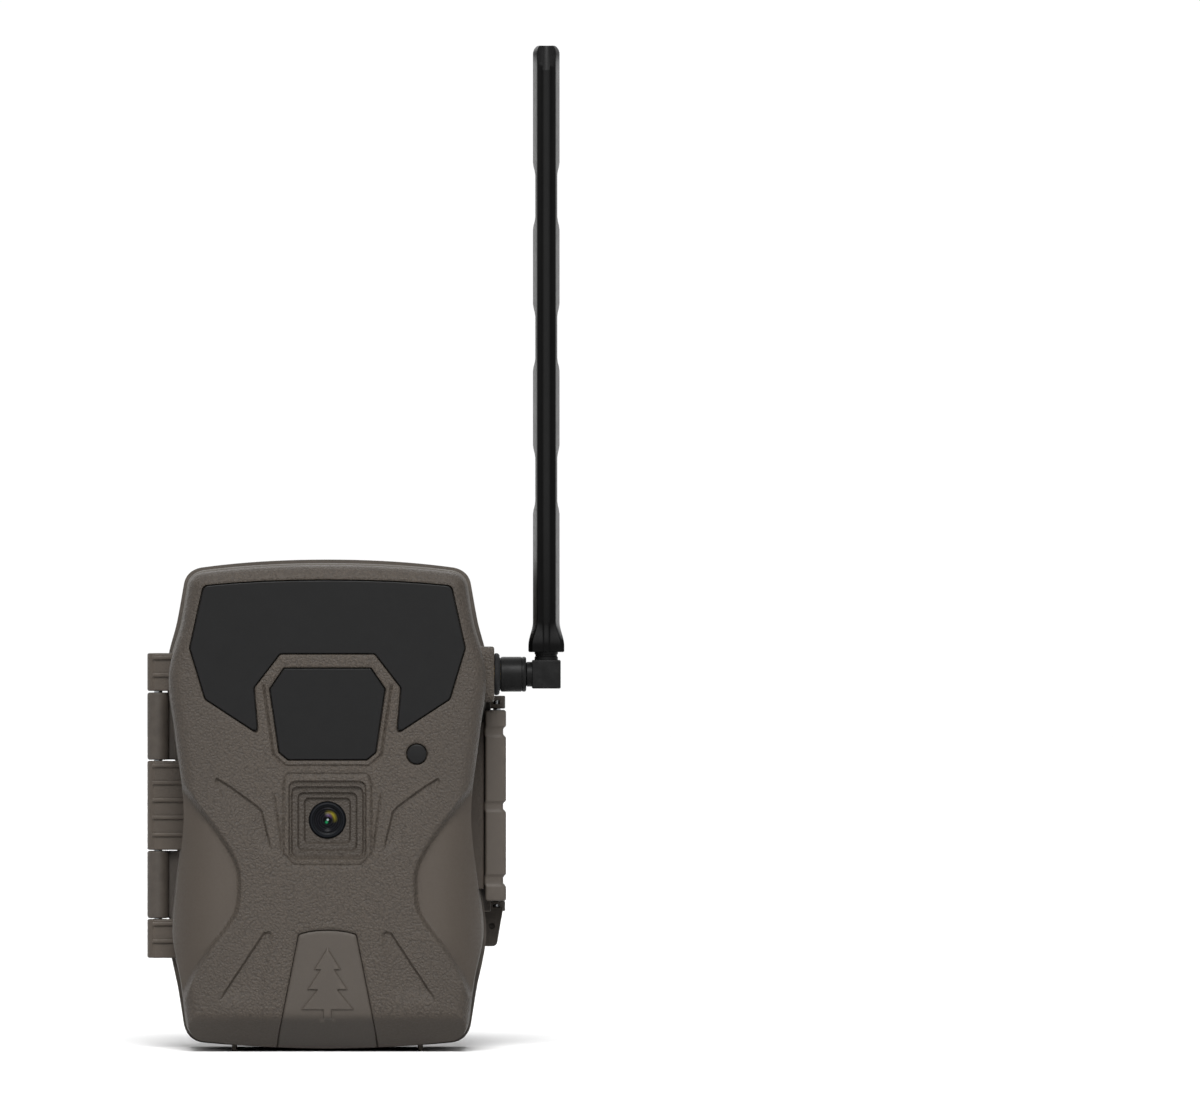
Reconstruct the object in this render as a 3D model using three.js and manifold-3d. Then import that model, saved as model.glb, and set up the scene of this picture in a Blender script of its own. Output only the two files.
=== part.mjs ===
// A cellular trail camera: a rear housing that straps to a tree and holds the battery tray, a door
// that holds the camera and its electronics, a side latch, and a swivelling whip antenna.
// Millimetres. The front faces -Y, +Z is up, +X is the latch side, and the origin is on the flat
// pad under the rear housing, just in front of the tripod insert.

import * as THREE from 'three';
import { mergeVertices } from 'three/addons/utils/BufferGeometryUtils.js';
import Module from 'manifold-3d';

const wasm = await Module();
wasm.setup();

// ---------- Driving dimensions ----------

const BODY_HEIGHT = 152.8;
const SPLIT_Y = -10;        // parting plane between door and rear housing
const FRONT_Y = -46;        // foremost face of the door
const BACK_Y = 20;          // flat back wall of the rear housing
const BRACKET_Y = 28.5;     // lands of the tree pads, the rearmost faces
const WALL = 2.4;
const GAP = 0.3;            // between fixed neighbours
const BEYOND = 5;           // how far a cutter runs past what it cuts

const PANEL_Y = SPLIT_Y - 0.6;           // rear face of the door's inner panel
const PANEL_THICKNESS = 2;
const BOARD_THICKNESS = 1.6;

const HINGE = { x: -52.8, y: SPLIT_Y, barrelRadius: 3.4, pinRadius: 1.3, boreRadius: 1.55 };
const DOOR_KNUCKLES = [[28.5, 40.6], [62.2, 90.0], [111.8, 123.6]];
const HOUSING_KNUCKLES = [[40.9, 61.9], [90.3, 111.3]];

const LATCH = { x: 53, y: 1, bossRadius: 2.7, pinRadius: 1.2, boreRadius: 1.45, bottom: 46.4, top: 105.8 };
const LATCH_OUTER_X = 55.7;

const LENS_Z = 72;
const ANTENNA = { y: -22, z: 117.1, mastX: 68.15, top: 312.8 };
const BOSS_X = 51.9;        // end face of the antenna boss

const CELL = { radius: 7.1, length: 49.5, nubRadius: 2.7, nubLength: 1, pitch: 15.5, y: 7.7 };
const BAY_HEIGHT = 56.8;
const BAY_DIVIDER = 3;
const BAY_BOTTOMS = [19, 19 + BAY_HEIGHT + BAY_DIVIDER];
const SPRING_HEIGHT = 4;

// ---------- Colours and finishes ----------

const SHELL = { color: 0x5a5048, roughness: 0.85, metalness: 0 };
const SHELL_DARK = { color: 0x4c463f, roughness: 0.8, metalness: 0 };
const SMOKED = { color: 0x1c1c1d, roughness: 0.3, metalness: 0 };
const BLACK_PLASTIC = { color: 0x202021, roughness: 0.55, metalness: 0 };
const GREY_PLASTIC = { color: 0x35373a, roughness: 0.6, metalness: 0 };
const RUBBER = { color: 0x18181a, roughness: 0.9, metalness: 0 };
const GLASS = { color: 0x20263a, roughness: 0.05, metalness: 0 };
const STEEL = { color: 0xb5b8ba, roughness: 0.3, metalness: 1 };
const BRASS = { color: 0xb8954a, roughness: 0.35, metalness: 1 };
const BOARD = { color: 0x1d4a2c, roughness: 0.6, metalness: 0 };
const CELL_JACKET = { color: 0x2f3338, roughness: 0.4, metalness: 0.2 };

const camera = new THREE.Group();

function addPart(name, geometry, finish) {
  const mesh = new THREE.Mesh(geometry, new THREE.MeshStandardMaterial(finish));
  mesh.name = name;
  camera.add(mesh);
}

// ---------- Solids ----------

// A closed geometry as a manifold solid, without the slivers a lathe leaves on its axis.
function solid(geometry) {
  const bare = new THREE.BufferGeometry();
  bare.setAttribute('position', geometry.getAttribute('position').clone());
  if (geometry.index) bare.setIndex(geometry.index.clone());
  const merged = mergeVertices(bare, 1e-4);
  const corners = merged.index.array;
  const triangles = [];
  for (let i = 0; i < corners.length; i += 3) {
    const [a, b, c] = [corners[i], corners[i + 1], corners[i + 2]];
    if (a !== b && b !== c && c !== a) triangles.push(a, b, c);
  }
  return new wasm.Manifold(new wasm.Mesh({
    numProp: 3,
    vertProperties: new Float32Array(merged.getAttribute('position').array),
    triVerts: new Uint32Array(triangles),
  }));
}

function geometryOf(manifold) {
  const result = manifold.getMesh();
  const geometry = new THREE.BufferGeometry();
  geometry.setAttribute('position', new THREE.BufferAttribute(result.vertProperties, 3));
  geometry.setIndex(new THREE.BufferAttribute(result.triVerts, 1));
  return geometry;
}

const joined = (first, ...others) => others.reduce((whole, piece) => whole.add(piece), first);
const cut = (body, ...cutters) => cutters.reduce((whole, piece) => whole.subtract(piece), body);

const X_AXIS = new THREE.Vector3(1, 0, 0);
const Y_AXIS = new THREE.Vector3(0, 1, 0);
const Z_AXIS = new THREE.Vector3(0, 0, 1);

// An outline extruded along one axis: an outline's first coordinate follows `across`, its second
// `up`, and it is extruded from `start` towards `along`.
function extruded(shape, length, across, up, along, start, options) {
  const settings = { depth: length, bevelEnabled: false, curveSegments: 5, ...options };
  const geometry = new THREE.ExtrudeGeometry(shape, settings);
  geometry.applyMatrix4(new THREE.Matrix4().makeBasis(across, up, along).setPosition(start));
  return solid(geometry);
}

// An XZ outline from its back face forwards.
function plate(shape, backY, frontY, options = {}) {
  const start = new THREE.Vector3(0, backY, 0);
  return extruded(shape, backY - frontY, X_AXIS, Z_AXIS, Y_AXIS.clone().negate(), start, options);
}

// An XY outline between two heights.
function column(shape, bottom, top, options = {}) {
  return extruded(shape, top - bottom, X_AXIS, Y_AXIS, Z_AXIS, new THREE.Vector3(0, 0, bottom), options);
}

// A YZ outline between two X positions.
function beam(shape, left, right, options = {}) {
  return extruded(shape, right - left, Y_AXIS, Z_AXIS, X_AXIS, new THREE.Vector3(left, 0, 0), options);
}

function block([x0, x1], [y0, y1], [z0, z1]) {
  const geometry = new THREE.BoxGeometry(x1 - x0, y1 - y0, z1 - z0);
  geometry.translate((x0 + x1) / 2, (y0 + y1) / 2, (z0 + z1) / 2);
  return solid(geometry);
}

// A turned piece. Its profile is [radius, distance] points along `axis` from `centre`, in the
// order that runs up the outside. It starts and ends on the axis, or closes on itself.
function turned(profile, axis, centre, sides = 24) {
  const points = profile.map(([radius, distance]) => new THREE.Vector2(radius, distance));
  const geometry = new THREE.LatheGeometry(points, sides);
  geometry.applyQuaternion(new THREE.Quaternion().setFromUnitVectors(Y_AXIS, axis));
  geometry.translate(...centre);
  return solid(geometry);
}

function rod(radius, from, to, axis, centre, sides) {
  const [low, high] = [Math.min(from, to), Math.max(from, to)];
  return turned([[0, low], [radius, low], [radius, high], [0, high]], axis, centre, sides);
}

const pipe = (outer, inner, from, to, axis, centre, sides) =>
  turned([[inner, from], [outer, from], [outer, to], [inner, to], [inner, from]], axis, centre, sides);

// ---------- Outlines ----------

const vectors = (points) => points.map(([x, y]) => new THREE.Vector2(x, y));
const mirroredX = (points) => points.map(([x, ...rest]) => [-x, ...rest]);
const outlineShape = (points) => new THREE.Shape(vectors(points));

// The right half of a symmetric outline, from the top centre down to the bottom centre, made whole.
function symmetric(half) {
  const left = mirroredX(half).reverse();
  return [...half, ...left.filter(([x]) => Math.abs(x) > 1e-6)];
}

// A corner is [x, y, radius]. Corners without a radius stay sharp.
function roundedOutline(corners, steps = 4) {
  const outline = [];
  corners.forEach(([x, y, radius = 0], index) => {
    if (radius === 0) {
      outline.push([x, y]);
      return;
    }
    const corner = new THREE.Vector2(x, y);
    const [px, py] = corners.at(index - 1);
    const [nx, ny] = corners[(index + 1) % corners.length];
    const before = new THREE.Vector2(px - x, py - y).normalize();
    const after = new THREE.Vector2(nx - x, ny - y).normalize();
    const halfAngle = Math.acos(THREE.MathUtils.clamp(before.dot(after), -1, 1)) / 2;
    const reach = radius / Math.tan(halfAngle);
    const start = corner.clone().addScaledVector(before, reach);
    const end = corner.clone().addScaledVector(after, reach);
    const bend = new THREE.QuadraticBezierCurve(start, corner, end);
    bend.getPoints(steps).forEach((point) => outline.push([point.x, point.y]));
  });
  return outline;
}

// Moves every point of a clockwise outline inwards by the same distance. Corners keep their radius.
function inset(outline, distance) {
  return outline.map(([x, y, ...radius], index) => {
    const [px, py] = outline.at(index - 1);
    const [nx, ny] = outline[(index + 1) % outline.length];
    const before = new THREE.Vector2(x - px, y - py).normalize();
    const after = new THREE.Vector2(nx - x, ny - y).normalize();
    const normal = new THREE.Vector2(before.y + after.y, -before.x - after.x);
    const reach = (2 * distance) / normal.lengthSq();
    return [x + normal.x * reach, y + normal.y * reach, ...radius];
  });
}

// A body outline is wide at the antenna and near the foot, and waisted between them.
function bodyOutline({ crown, shoulder, side, heel, sole }) {
  const bend = (points, steps) => new THREE.QuadraticBezierCurve(...vectors(points)).getPoints(steps);
  const crownArc = bend([[0, crown], [shoulder[0][0] * 0.55, crown], shoulder[0]], 3);
  const shoulderArc = bend(shoulder, 4);
  const flank = new THREE.SplineCurve(vectors([shoulder[2], ...side, heel[0]])).getPoints(15);
  const heelArc = bend(heel, 4);
  const soleArc = bend([heel[2], [heel[2][0] * 0.5, sole], [0, sole]], 3);
  const pieces = [crownArc, shoulderArc.slice(1), flank.slice(1), heelArc.slice(1), soleArc.slice(1)];
  return symmetric(pieces.flat().map((point) => [point.x, point.y]));
}

const HOUSING_OUTLINE = bodyOutline({
  crown: BODY_HEIGHT,
  shoulder: [[39.5, 150.3], [44.3, 149.3], [44.9, 144.6]],
  side: [[46.9, 133.5], [50.2, 118], [48.2, 96], [46.3, 76], [47.6, 54], [49.6, 36], [46.6, 19]],
  heel: [[45, 9], [44.3, 2.6], [38.5, 2]],
  sole: 0.25,
});

const DOOR_OUTLINE = bodyOutline({
  crown: 151.1,
  shoulder: [[38.5, 148.9], [43, 148.2], [43.4, 143.4]],
  side: [[45.3, 132.2], [49.2, 117], [47.2, 98], [44.6, 74], [46.9, 51], [48.1, 36], [45.4, 22]],
  heel: [[43.8, 9.5], [43.3, 3.9], [38, 3.2]],
  sole: 0.9,
});

const LED_CORNERS = symmetric([
  [0, 146.6], [20, 146.2], [38.6, 144.8, 2.2], [42.9, 125.3, 1.5], [38.1, 109.4, 2], [21.3, 98.4, 1.2],
  [22.6, 113, 1.5], [14.6, 123.4, 1.5],
]);
const ledOutline = (distance) => outlineShape(roundedOutline(inset(LED_CORNERS, distance), 3));

const PIR_WINDOW = symmetric([[13.6, 119.3], [18.1, 112.7], [15.2, 92.9], [12.3, 90.5]]);
const pirOutline = (distance) => outlineShape(inset(PIR_WINDOW, distance));

const BADGE_CORNERS = symmetric([[0, 38], [5, 37.7], [9, 36.7, 1.2], [14.9, 6.8], [16.4, -2]]);
const badgeOutline = (distance) => outlineShape(roundedOutline(inset(BADGE_CORNERS, distance), 3));

const rectangle = (halfWidth, bottom, top, radius) => roundedOutline([
  [-halfWidth, top, radius], [halfWidth, top, radius],
  [halfWidth, bottom, radius], [-halfWidth, bottom, radius],
]);

// ---------- Door shell ----------

const SKIN_STEP = 2;          // the textured skin stands this far in front of the side panels
const EDGE_DEPTH = 6;         // the front edge of the door is an elliptical round
const EDGE_WIDTH = 4.6;
const SOLE_SLOPE_Z = 11;      // below this height the front face turns back under
const CAVITY_FRONT = FRONT_Y + SKIN_STEP + 2.5;
const WINDOW_DEPTH = 2.2;
const RECESS_STEPS = [
  { halfWidth: 11.9, bottom: 59.9, top: 83.4, depth: 1, radius: 2.5 },
  { halfWidth: 11.2, bottom: 60.6, top: 82.4, depth: 2, radius: 2.4 },
  { halfWidth: 9.2, bottom: 62.5, top: 80.6, depth: 3, radius: 2 },
  { halfWidth: 7.2, bottom: 64.8, top: 78.9, depth: 4, radius: 1.7 },
];
const LENS_FLOOR_Y = FRONT_Y + 4;
const PANEL_SCREWS = [[-38, 136], [38, 136], [-36.5, 16], [36.5, 16]];
const FOOT_X = 29;
const FOOT_WIDTH = 1.4;

const EVERYWHERE = [-200, 200];

// The door's outer form, moved back by `shift`.
function doorForm(shift = 0) {
  const round = {
    bevelEnabled: true,
    bevelThickness: EDGE_DEPTH,
    bevelSize: EDGE_WIDTH,
    bevelOffset: -EDGE_WIDTH,
    bevelSegments: 3,
  };
  const form = plate(outlineShape(DOOR_OUTLINE), SPLIT_Y, FRONT_Y + EDGE_DEPTH + shift, round);
  const behind = block(EVERYWHERE, [SPLIT_Y - GAP, SPLIT_Y + BEYOND + EDGE_DEPTH], EVERYWHERE);
  return cut(form, behind, soleWedge(shift));
}

// What the sloping front of the sole leaves out.
function soleWedge(shift) {
  const edge = FRONT_Y + shift;
  const reach = SOLE_SLOPE_Z + BEYOND;
  const corners = [[edge - BEYOND, SOLE_SLOPE_Z + BEYOND], [edge + reach, -BEYOND], [edge - BEYOND, -BEYOND]];
  return beam(outlineShape(corners), -60, 60);
}

// A full-height block with rounded front corners, seen from above.
function roundedPlan(halfWidth, frontY, radius) {
  const corners = [
    [-halfWidth, 0], [-halfWidth, frontY, radius], [halfWidth, frontY, radius], [halfWidth, 0],
  ];
  return column(outlineShape(roundedOutline(corners, 7)), -BEYOND, BODY_HEIGHT + BEYOND);
}

// The smooth panel beside the textured skin, on one side of the door.
function sidePanelCutter(side) {
  const edge = new THREE.SplineCurve(vectors([
    [45.5, 84.5], [38.4, 75.2], [32.2, 66.9], [27.6, 58.7], [26.6, 52], [28, 42.5],
    [36.4, 30.8], [41.5, 22.5], [44, 16.3],
  ]));
  const points = edge.getPoints(20).map((point) => [side * point.x, point.y]);
  const region = [[side * 60, 84.5], ...points, [side * 60, 16.3]];
  const prism = plate(outlineShape(region), SPLIT_Y, FRONT_Y - BEYOND);
  return cut(prism, roundedPlan(49, FRONT_Y + SKIN_STEP, 16));
}

function doorCavity() {
  const opening = plate(outlineShape(inset(DOOR_OUTLINE, WALL)), SPLIT_Y + BEYOND, CAVITY_FRONT);
  const rounded = opening.intersect(roundedPlan(46.5, CAVITY_FRONT, 14));
  return cut(rounded, soleWedge(4));
}

// The three ribbed leaves that carry the door's knuckles.
function doorKnuckles() {
  const ribPitch = 5.4;
  const leaves = DOOR_KNUCKLES.flatMap(([bottom, top]) => {
    const barrel = rod(HINGE.barrelRadius, bottom, top, Z_AXIS, [HINGE.x, HINGE.y, 0]);
    const frontY = HINGE.y - HINGE.barrelRadius;
    const leaf = block([HINGE.x, -43], [frontY, SPLIT_Y - GAP], [bottom, top]);
    const ribs = [];
    for (let z = top - 1.4; z > bottom + 0.6; z -= ribPitch) {
      ribs.push(block([-54.4, -44], [frontY - 0.7, frontY + 1.2], [z - 0.5, z + 0.5]));
    }
    return [barrel, leaf, ...ribs];
  });
  return joined(...leaves);
}

function antennaBoss() {
  const size = 8.6;
  const { y, z } = ANTENNA;
  const corners = [
    [y - size, z - size, 2.4], [y + size, z - size, 2.4], [y + size, z + size, 2.4], [y - size, z + size, 2.4],
  ];
  return beam(outlineShape(roundedOutline(corners, 3)), 40, BOSS_X);
}

function doorFeet() {
  const foot = (x) => block([x - FOOT_WIDTH / 2, x + FOOT_WIDTH / 2], [-32, -13], [0, 3]);
  return joined(foot(-FOOT_X), foot(FOOT_X));
}

function frontCover() {
  const catchRib = block([42, 48.9], [-13.6, -11], [50, 102]);
  const relief = HOUSING_KNUCKLES.map(([bottom, top]) =>
    rod(HINGE.barrelRadius + 0.4, bottom - GAP, top + GAP, Z_AXIS, [HINGE.x, HINGE.y, 0]));
  const form = cut(doorForm(), sidePanelCutter(1), sidePanelCutter(-1));
  const outside = joined(cut(form, ...relief), doorKnuckles(), antennaBoss(), doorFeet(), catchRib);

  const lensBoss = block([-15, 15], [FRONT_Y + 3, LENS_FLOOR_Y + 2.5], [57, 87]);
  const posts = PANEL_SCREWS.map(([x, z]) =>
    rod(3, PANEL_Y - PANEL_THICKNESS - GAP, FRONT_Y + 1, Y_AXIS, [x, 0, z], 16).intersect(form));
  const shell = joined(cut(outside, doorCavity()), lensBoss, ...posts);

  const recess = RECESS_STEPS.map((step) =>
    plate(outlineShape(rectangle(step.halfWidth, step.bottom, step.top, step.radius)),
      FRONT_Y + step.depth, FRONT_Y - BEYOND));
  const lensHole = rod(5.85, FRONT_Y, FRONT_Y + 12, Y_AXIS, [0, 0, LENS_Z]);
  const ledPocket = plate(ledOutline(0), FRONT_Y + WINDOW_DEPTH, FRONT_Y - BEYOND);
  const ledOpening = plate(ledOutline(1.6), FRONT_Y + 9, FRONT_Y);
  const pirPocket = plate(pirOutline(0), FRONT_Y + WINDOW_DEPTH, FRONT_Y - BEYOND);
  const pirOpening = plate(pirOutline(1.6), FRONT_Y + 9, FRONT_Y);
  const sensorPocket = rod(3.3, FRONT_Y - 1, FRONT_Y + 1.6, Y_AXIS, [27.7, 0, 92.5]);
  const sensorHole = rod(2.2, FRONT_Y, FRONT_Y + 9, Y_AXIS, [27.7, 0, 92.5], 16);
  const badgePocket = cut(plate(badgeOutline(0), -30, FRONT_Y - BEYOND), doorForm(1.6));
  const portHole = rod(3.3, 40, BOSS_X + 1, X_AXIS, [0, ANTENNA.y, ANTENNA.z]);
  const pinBore = rod(HINGE.boreRadius, 20, 130, Z_AXIS, [HINGE.x, HINGE.y, 0], 16);
  const screwHoles = PANEL_SCREWS.map(([x, z]) => rod(1.25, -22, SPLIT_Y, Y_AXIS, [x, 0, z], 12));
  return cut(shell, ...recess, lensHole, ledPocket, ledOpening, pirPocket, pirOpening,
    sensorPocket, sensorHole, badgePocket, portHole, pinBore, ...screwHoles);
}

addPart('front_cover', geometryOf(frontCover()), SHELL);

// ---------- Windows and badge in the door ----------

const WINDOW_GAP = 0.25;
const windowPlate = (outline, thickness, sunk) =>
  plate(outline(WINDOW_GAP), FRONT_Y + sunk + thickness, FRONT_Y + sunk);

addPart('led_window', geometryOf(windowPlate(ledOutline, 1.5, 0.5)), SMOKED);
addPart('pir_window', geometryOf(windowPlate(pirOutline, 1.3, 0.7)), SMOKED);
addPart('sensor_window',
  geometryOf(rod(3, FRONT_Y + 0.3, FRONT_Y + 1.4, Y_AXIS, [27.7, 0, 92.5])), SMOKED);

// The badge plate follows the door's face and turns under with it.
function badgePlate() {
  const prism = plate(badgeOutline(WINDOW_GAP), -34, FRONT_Y - BEYOND);
  const skin = cut(doorForm(0.15), doorForm(1.35));
  return prism.intersect(skin);
}
addPart('badge_plate', geometryOf(badgePlate()), SHELL_DARK);

// ---------- Lens and camera module ----------

const lensAxis = [0, 0, LENS_Z];

addPart('lens_ring', geometryOf(turned([
  [4.1, LENS_FLOOR_Y - 0.7], [5.2, LENS_FLOOR_Y - 0.7], [5.55, LENS_FLOOR_Y - 0.4],
  [5.55, LENS_FLOOR_Y + 1.2], [4.1, LENS_FLOOR_Y + 1.2], [4.1, LENS_FLOOR_Y - 0.7],
], Y_AXIS, lensAxis, 32)), BLACK_PLASTIC);

addPart('lens_glass', geometryOf(turned([
  [0, LENS_FLOOR_Y - 0.5], [1.6, LENS_FLOOR_Y - 0.4], [2.9, LENS_FLOOR_Y - 0.1], [3.85, LENS_FLOOR_Y + 0.4],
  [3.85, LENS_FLOOR_Y + 1.6], [0, LENS_FLOOR_Y + 1.6],
], Y_AXIS, lensAxis, 32)), GLASS);

addPart('lens_barrel', geometryOf(pipe(5, 3.2, LENS_FLOOR_Y + 2, -30.6, Y_AXIS, lensAxis)), BLACK_PLASTIC);

function lensHolder() {
  const body = block([-15, 9], [-38.5, -26.5], [LENS_Z - 9, LENS_Z + 9]);
  const barrelBore = rod(5.3, -40, -30.2, Y_AXIS, lensAxis);
  const shutterSlot = block([-16, 6], [-30.4, -28.4], [LENS_Z - 5, LENS_Z + 5]);
  const sensorWell = block([-4.6, 4.6], [-29, -26], [LENS_Z - 3.6, LENS_Z + 3.6]);
  return cut(body, barrelBore, shutterSlot, sensorWell);
}
addPart('lens_holder', geometryOf(lensHolder()), BLACK_PLASTIC);
addPart('ir_cut_shutter', geometryOf(block([-4.2, 4.2], [-29.7, -29], [LENS_Z - 4.5, LENS_Z + 4.5])), GLASS);
addPart('image_sensor', geometryOf(block([-4, 4], [-28, -26.4], [LENS_Z - 3, LENS_Z + 3])), BLACK_PLASTIC);
addPart('image_board', geometryOf(block([-12, 12], [-26.2, -24.8], [LENS_Z - 12, LENS_Z + 12])), BOARD);

// ---------- Boards behind the windows ----------

function ledBoard() {
  const backY = CAVITY_FRONT + 0.6 + BOARD_THICKNESS;
  const board = plate(ledOutline(2), backY, backY - BOARD_THICKNESS);
  const postHoles = PANEL_SCREWS.map(([x, z]) => rod(3.4, -50, -30, Y_AXIS, [x, 0, z], 16));
  return cut(board, ...postHoles);
}
addPart('led_board', geometryOf(ledBoard()), BOARD);

const MAIN_BOARD_Y = -20.4;
addPart('main_board', geometryOf(
  block([-32, 32], [MAIN_BOARD_Y - BOARD_THICKNESS, MAIN_BOARD_Y], [22, 138])), BOARD);

const boardFront = MAIN_BOARD_Y - BOARD_THICKNESS - GAP;
addPart('pir_sensor', geometryOf(turned([
  [0, -34.5], [3.6, -34.5], [4.1, -34], [4.1, -30.5], [4.7, -30.5], [4.7, -30], [2, -30],
  [2, boardFront], [0, boardFront],
], Y_AXIS, [0, 0, 104], 20)), STEEL);
addPart('cell_modem', geometryOf(block([-26, 6], [-26.3, boardFront], [28, 56])), STEEL);

// ---------- Inner panel, screen, keypad, switch and card ----------

const KEYPAD = { x: -14, z: 70, spacing: 13, capRadius: 4.5, flangeRadius: 5.4, travel: 0.8 };
const BUTTONS = [
  ['button_ok', 0, 0],
  ['button_up', 0, 1],
  ['button_down', 0, -1],
  ['button_left', 1, 0],      // the panel is read from behind, so its left is +X
  ['button_right', -1, 0],
];
const SCREEN = { x: [-31, 3], z: [99, 125] };
const CARD = { x: [12, 36], z: [96, 128], thickness: 2.1 };
const SWITCH_SLOT = { x: [17, 31], z: [33.6, 39.6] };
const panelBack = PANEL_Y - PANEL_THICKNESS;

function innerPanel() {
  const board = plate(outlineShape(inset(DOOR_OUTLINE, WALL + GAP)), PANEL_Y, panelBack);
  const through = [panelBack - 1, PANEL_Y + 1];
  const buttonHoles = BUTTONS.map(([, across, up]) =>
    rod(KEYPAD.capRadius + 0.3, ...through, Y_AXIS,
      [KEYPAD.x + across * KEYPAD.spacing, 0, KEYPAD.z + up * KEYPAD.spacing], 20));
  const screwHoles = PANEL_SCREWS.flatMap(([x, z]) => [
    rod(1.3, ...through, Y_AXIS, [x, 0, z], 12),
    rod(2.9, PANEL_Y - 1.3, PANEL_Y + 1, Y_AXIS, [x, 0, z], 16),
  ]);
  const cardOpening = block([11.4, 36.6], through, [81, 104]);
  return cut(board, block(SCREEN.x, through, SCREEN.z), block(SWITCH_SLOT.x, through, SWITCH_SLOT.z),
    cardOpening, ...buttonHoles, ...screwHoles);
}
addPart('inner_panel', geometryOf(innerPanel()), GREY_PLASTIC);

const grown = ([low, high], margin) => [low - margin, high + margin];

addPart('screen_window', geometryOf(
  block(grown(SCREEN.x, -GAP), [panelBack + 0.4, PANEL_Y - 0.2], grown(SCREEN.z, -GAP))), GLASS);
addPart('screen_module', geometryOf(
  block(grown(SCREEN.x, 3), [panelBack - 3.4, panelBack - GAP], grown(SCREEN.z, 3))), BLACK_PLASTIC);

for (const [name, across, up] of BUTTONS) {
  const centre = [KEYPAD.x + across * KEYPAD.spacing, 0, KEYPAD.z + up * KEYPAD.spacing];
  addPart(name, geometryOf(turned([
    [0, panelBack - 1.8], [KEYPAD.flangeRadius, panelBack - 1.8], [KEYPAD.flangeRadius, panelBack - GAP],
    [KEYPAD.capRadius, panelBack - GAP], [KEYPAD.capRadius, PANEL_Y + 1.2], [KEYPAD.capRadius - 0.8, PANEL_Y + 1.8],
    [0, PANEL_Y + 2],
  ], Y_AXIS, centre, 20)), RUBBER);
}

addPart('keypad_board', geometryOf(
  block([-34, 34], [panelBack - 5, panelBack - 5 + BOARD_THICKNESS], [28, 78.5])
    .add(block([-34, 6], [panelBack - 5, panelBack - 5 + BOARD_THICKNESS], [78, 92]))), BOARD);

const switchKnob = block([17.4, 23.4], [panelBack - 1.2, PANEL_Y + 1.6], [34, 39.2]);
const switchFoot = block([15.4, 25.4], [panelBack - 2.2, panelBack - 0.6], [32, 41.2]);
addPart('power_switch', geometryOf(switchKnob.add(switchFoot)), BLACK_PLASTIC);

function cardSocket() {
  const body = block([10.4, 37.6], [panelBack - 4.9, panelBack - GAP], [80.2, 130.2]);
  const slot = block([11.6, 36.4], [panelBack - 3.9, panelBack - 0.8], [81.2, 129.2]);
  const window = block([11.6, 36.4], [panelBack - 3.9, panelBack + 1], [81.2, 103.8]);
  return cut(body, slot, window);
}
addPart('card_socket', geometryOf(cardSocket()), STEEL);

function memoryCard() {
  const corners = [[12, 96], [36, 96], [36, 128], [16, 128], [12, 124]];
  const backY = panelBack - 1.2;
  return plate(outlineShape(corners), backY, backY - CARD.thickness);
}
addPart('memory_card', geometryOf(memoryCard()), BLACK_PLASTIC);

PANEL_SCREWS.forEach(([x, z], index) => {
  addPart(`panel_screw_${index + 1}`, geometryOf(turned([
    [0, -20.5], [1, -20.5], [1, PANEL_Y - 1.2], [2.6, PANEL_Y - 1.2], [2.6, PANEL_Y - 0.4],
    [1.8, PANEL_Y - 0.1], [0, PANEL_Y - 0.1],
  ], Y_AXIS, [x, 0, z], 16)), STEEL);
});

// ---------- Rear housing ----------

const TRIPOD_Y = 8.6;
const PAD_HALF_WIDTH = 15;
const DC_PORT = { y: 6, z: 76 };
const STRAP_GAP = 4.8;
const BRIDGE_THICKNESS = 3.2;
const BRIDGE_Z = [58, 94];
const BRIDGE_RAIL = 3;
const PAD_LEVELS = [[14, 40], [112, 138]];
const EAR_LEVELS = [[42.9, 46], [106.2, 110.2]];
const housingWallX = -46.3;

function housingForm() {
  const edge = 6;
  const round = {
    bevelEnabled: true, bevelThickness: edge, bevelSize: edge - 1, bevelOffset: 1 - edge, bevelSegments: 3,
  };
  const form = plate(outlineShape(HOUSING_OUTLINE), BACK_Y - edge, SPLIT_Y - edge, round);
  return cut(form, block(EVERYWHERE, [SPLIT_Y - 40, SPLIT_Y], EVERYWHERE));
}

// A toothed V that settles against a trunk, with a flat land on each side of it.
function treePad([bottom, top]) {
  const corners = [[-22, BACK_Y - 1], [-22, BRACKET_Y], [-14, BRACKET_Y]];
  const teeth = 4;
  const depth = 4.5;
  const vee = (step) => BRACKET_Y - depth * (1 - Math.abs(step - teeth) / teeth);
  for (let step = 0; step <= 2 * teeth; step += 1) {
    const x = -14 + (28 * step) / (2 * teeth);
    const next = x + 14 / teeth / 2;
    if (step > 0) corners.push([x, vee(step)]);
    if (step < 2 * teeth) corners.push([next, vee(step + 0.5) + 0.9]);
  }
  corners.push([22, BRACKET_Y], [22, BACK_Y - 1]);
  return column(outlineShape(corners), bottom, top);
}

// A bridge that the strap passes behind.
function strapBridge(side) {
  const across = side > 0 ? [23, 32] : [-32, -23];
  const outer = block(across, [BACK_Y - 1, BACK_Y + STRAP_GAP + BRIDGE_THICKNESS], BRIDGE_Z);
  const gap = block(grown(across, 1), [BACK_Y, BACK_Y + STRAP_GAP], grown(BRIDGE_Z, -BRIDGE_RAIL));
  return cut(outer, gap);
}

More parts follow.
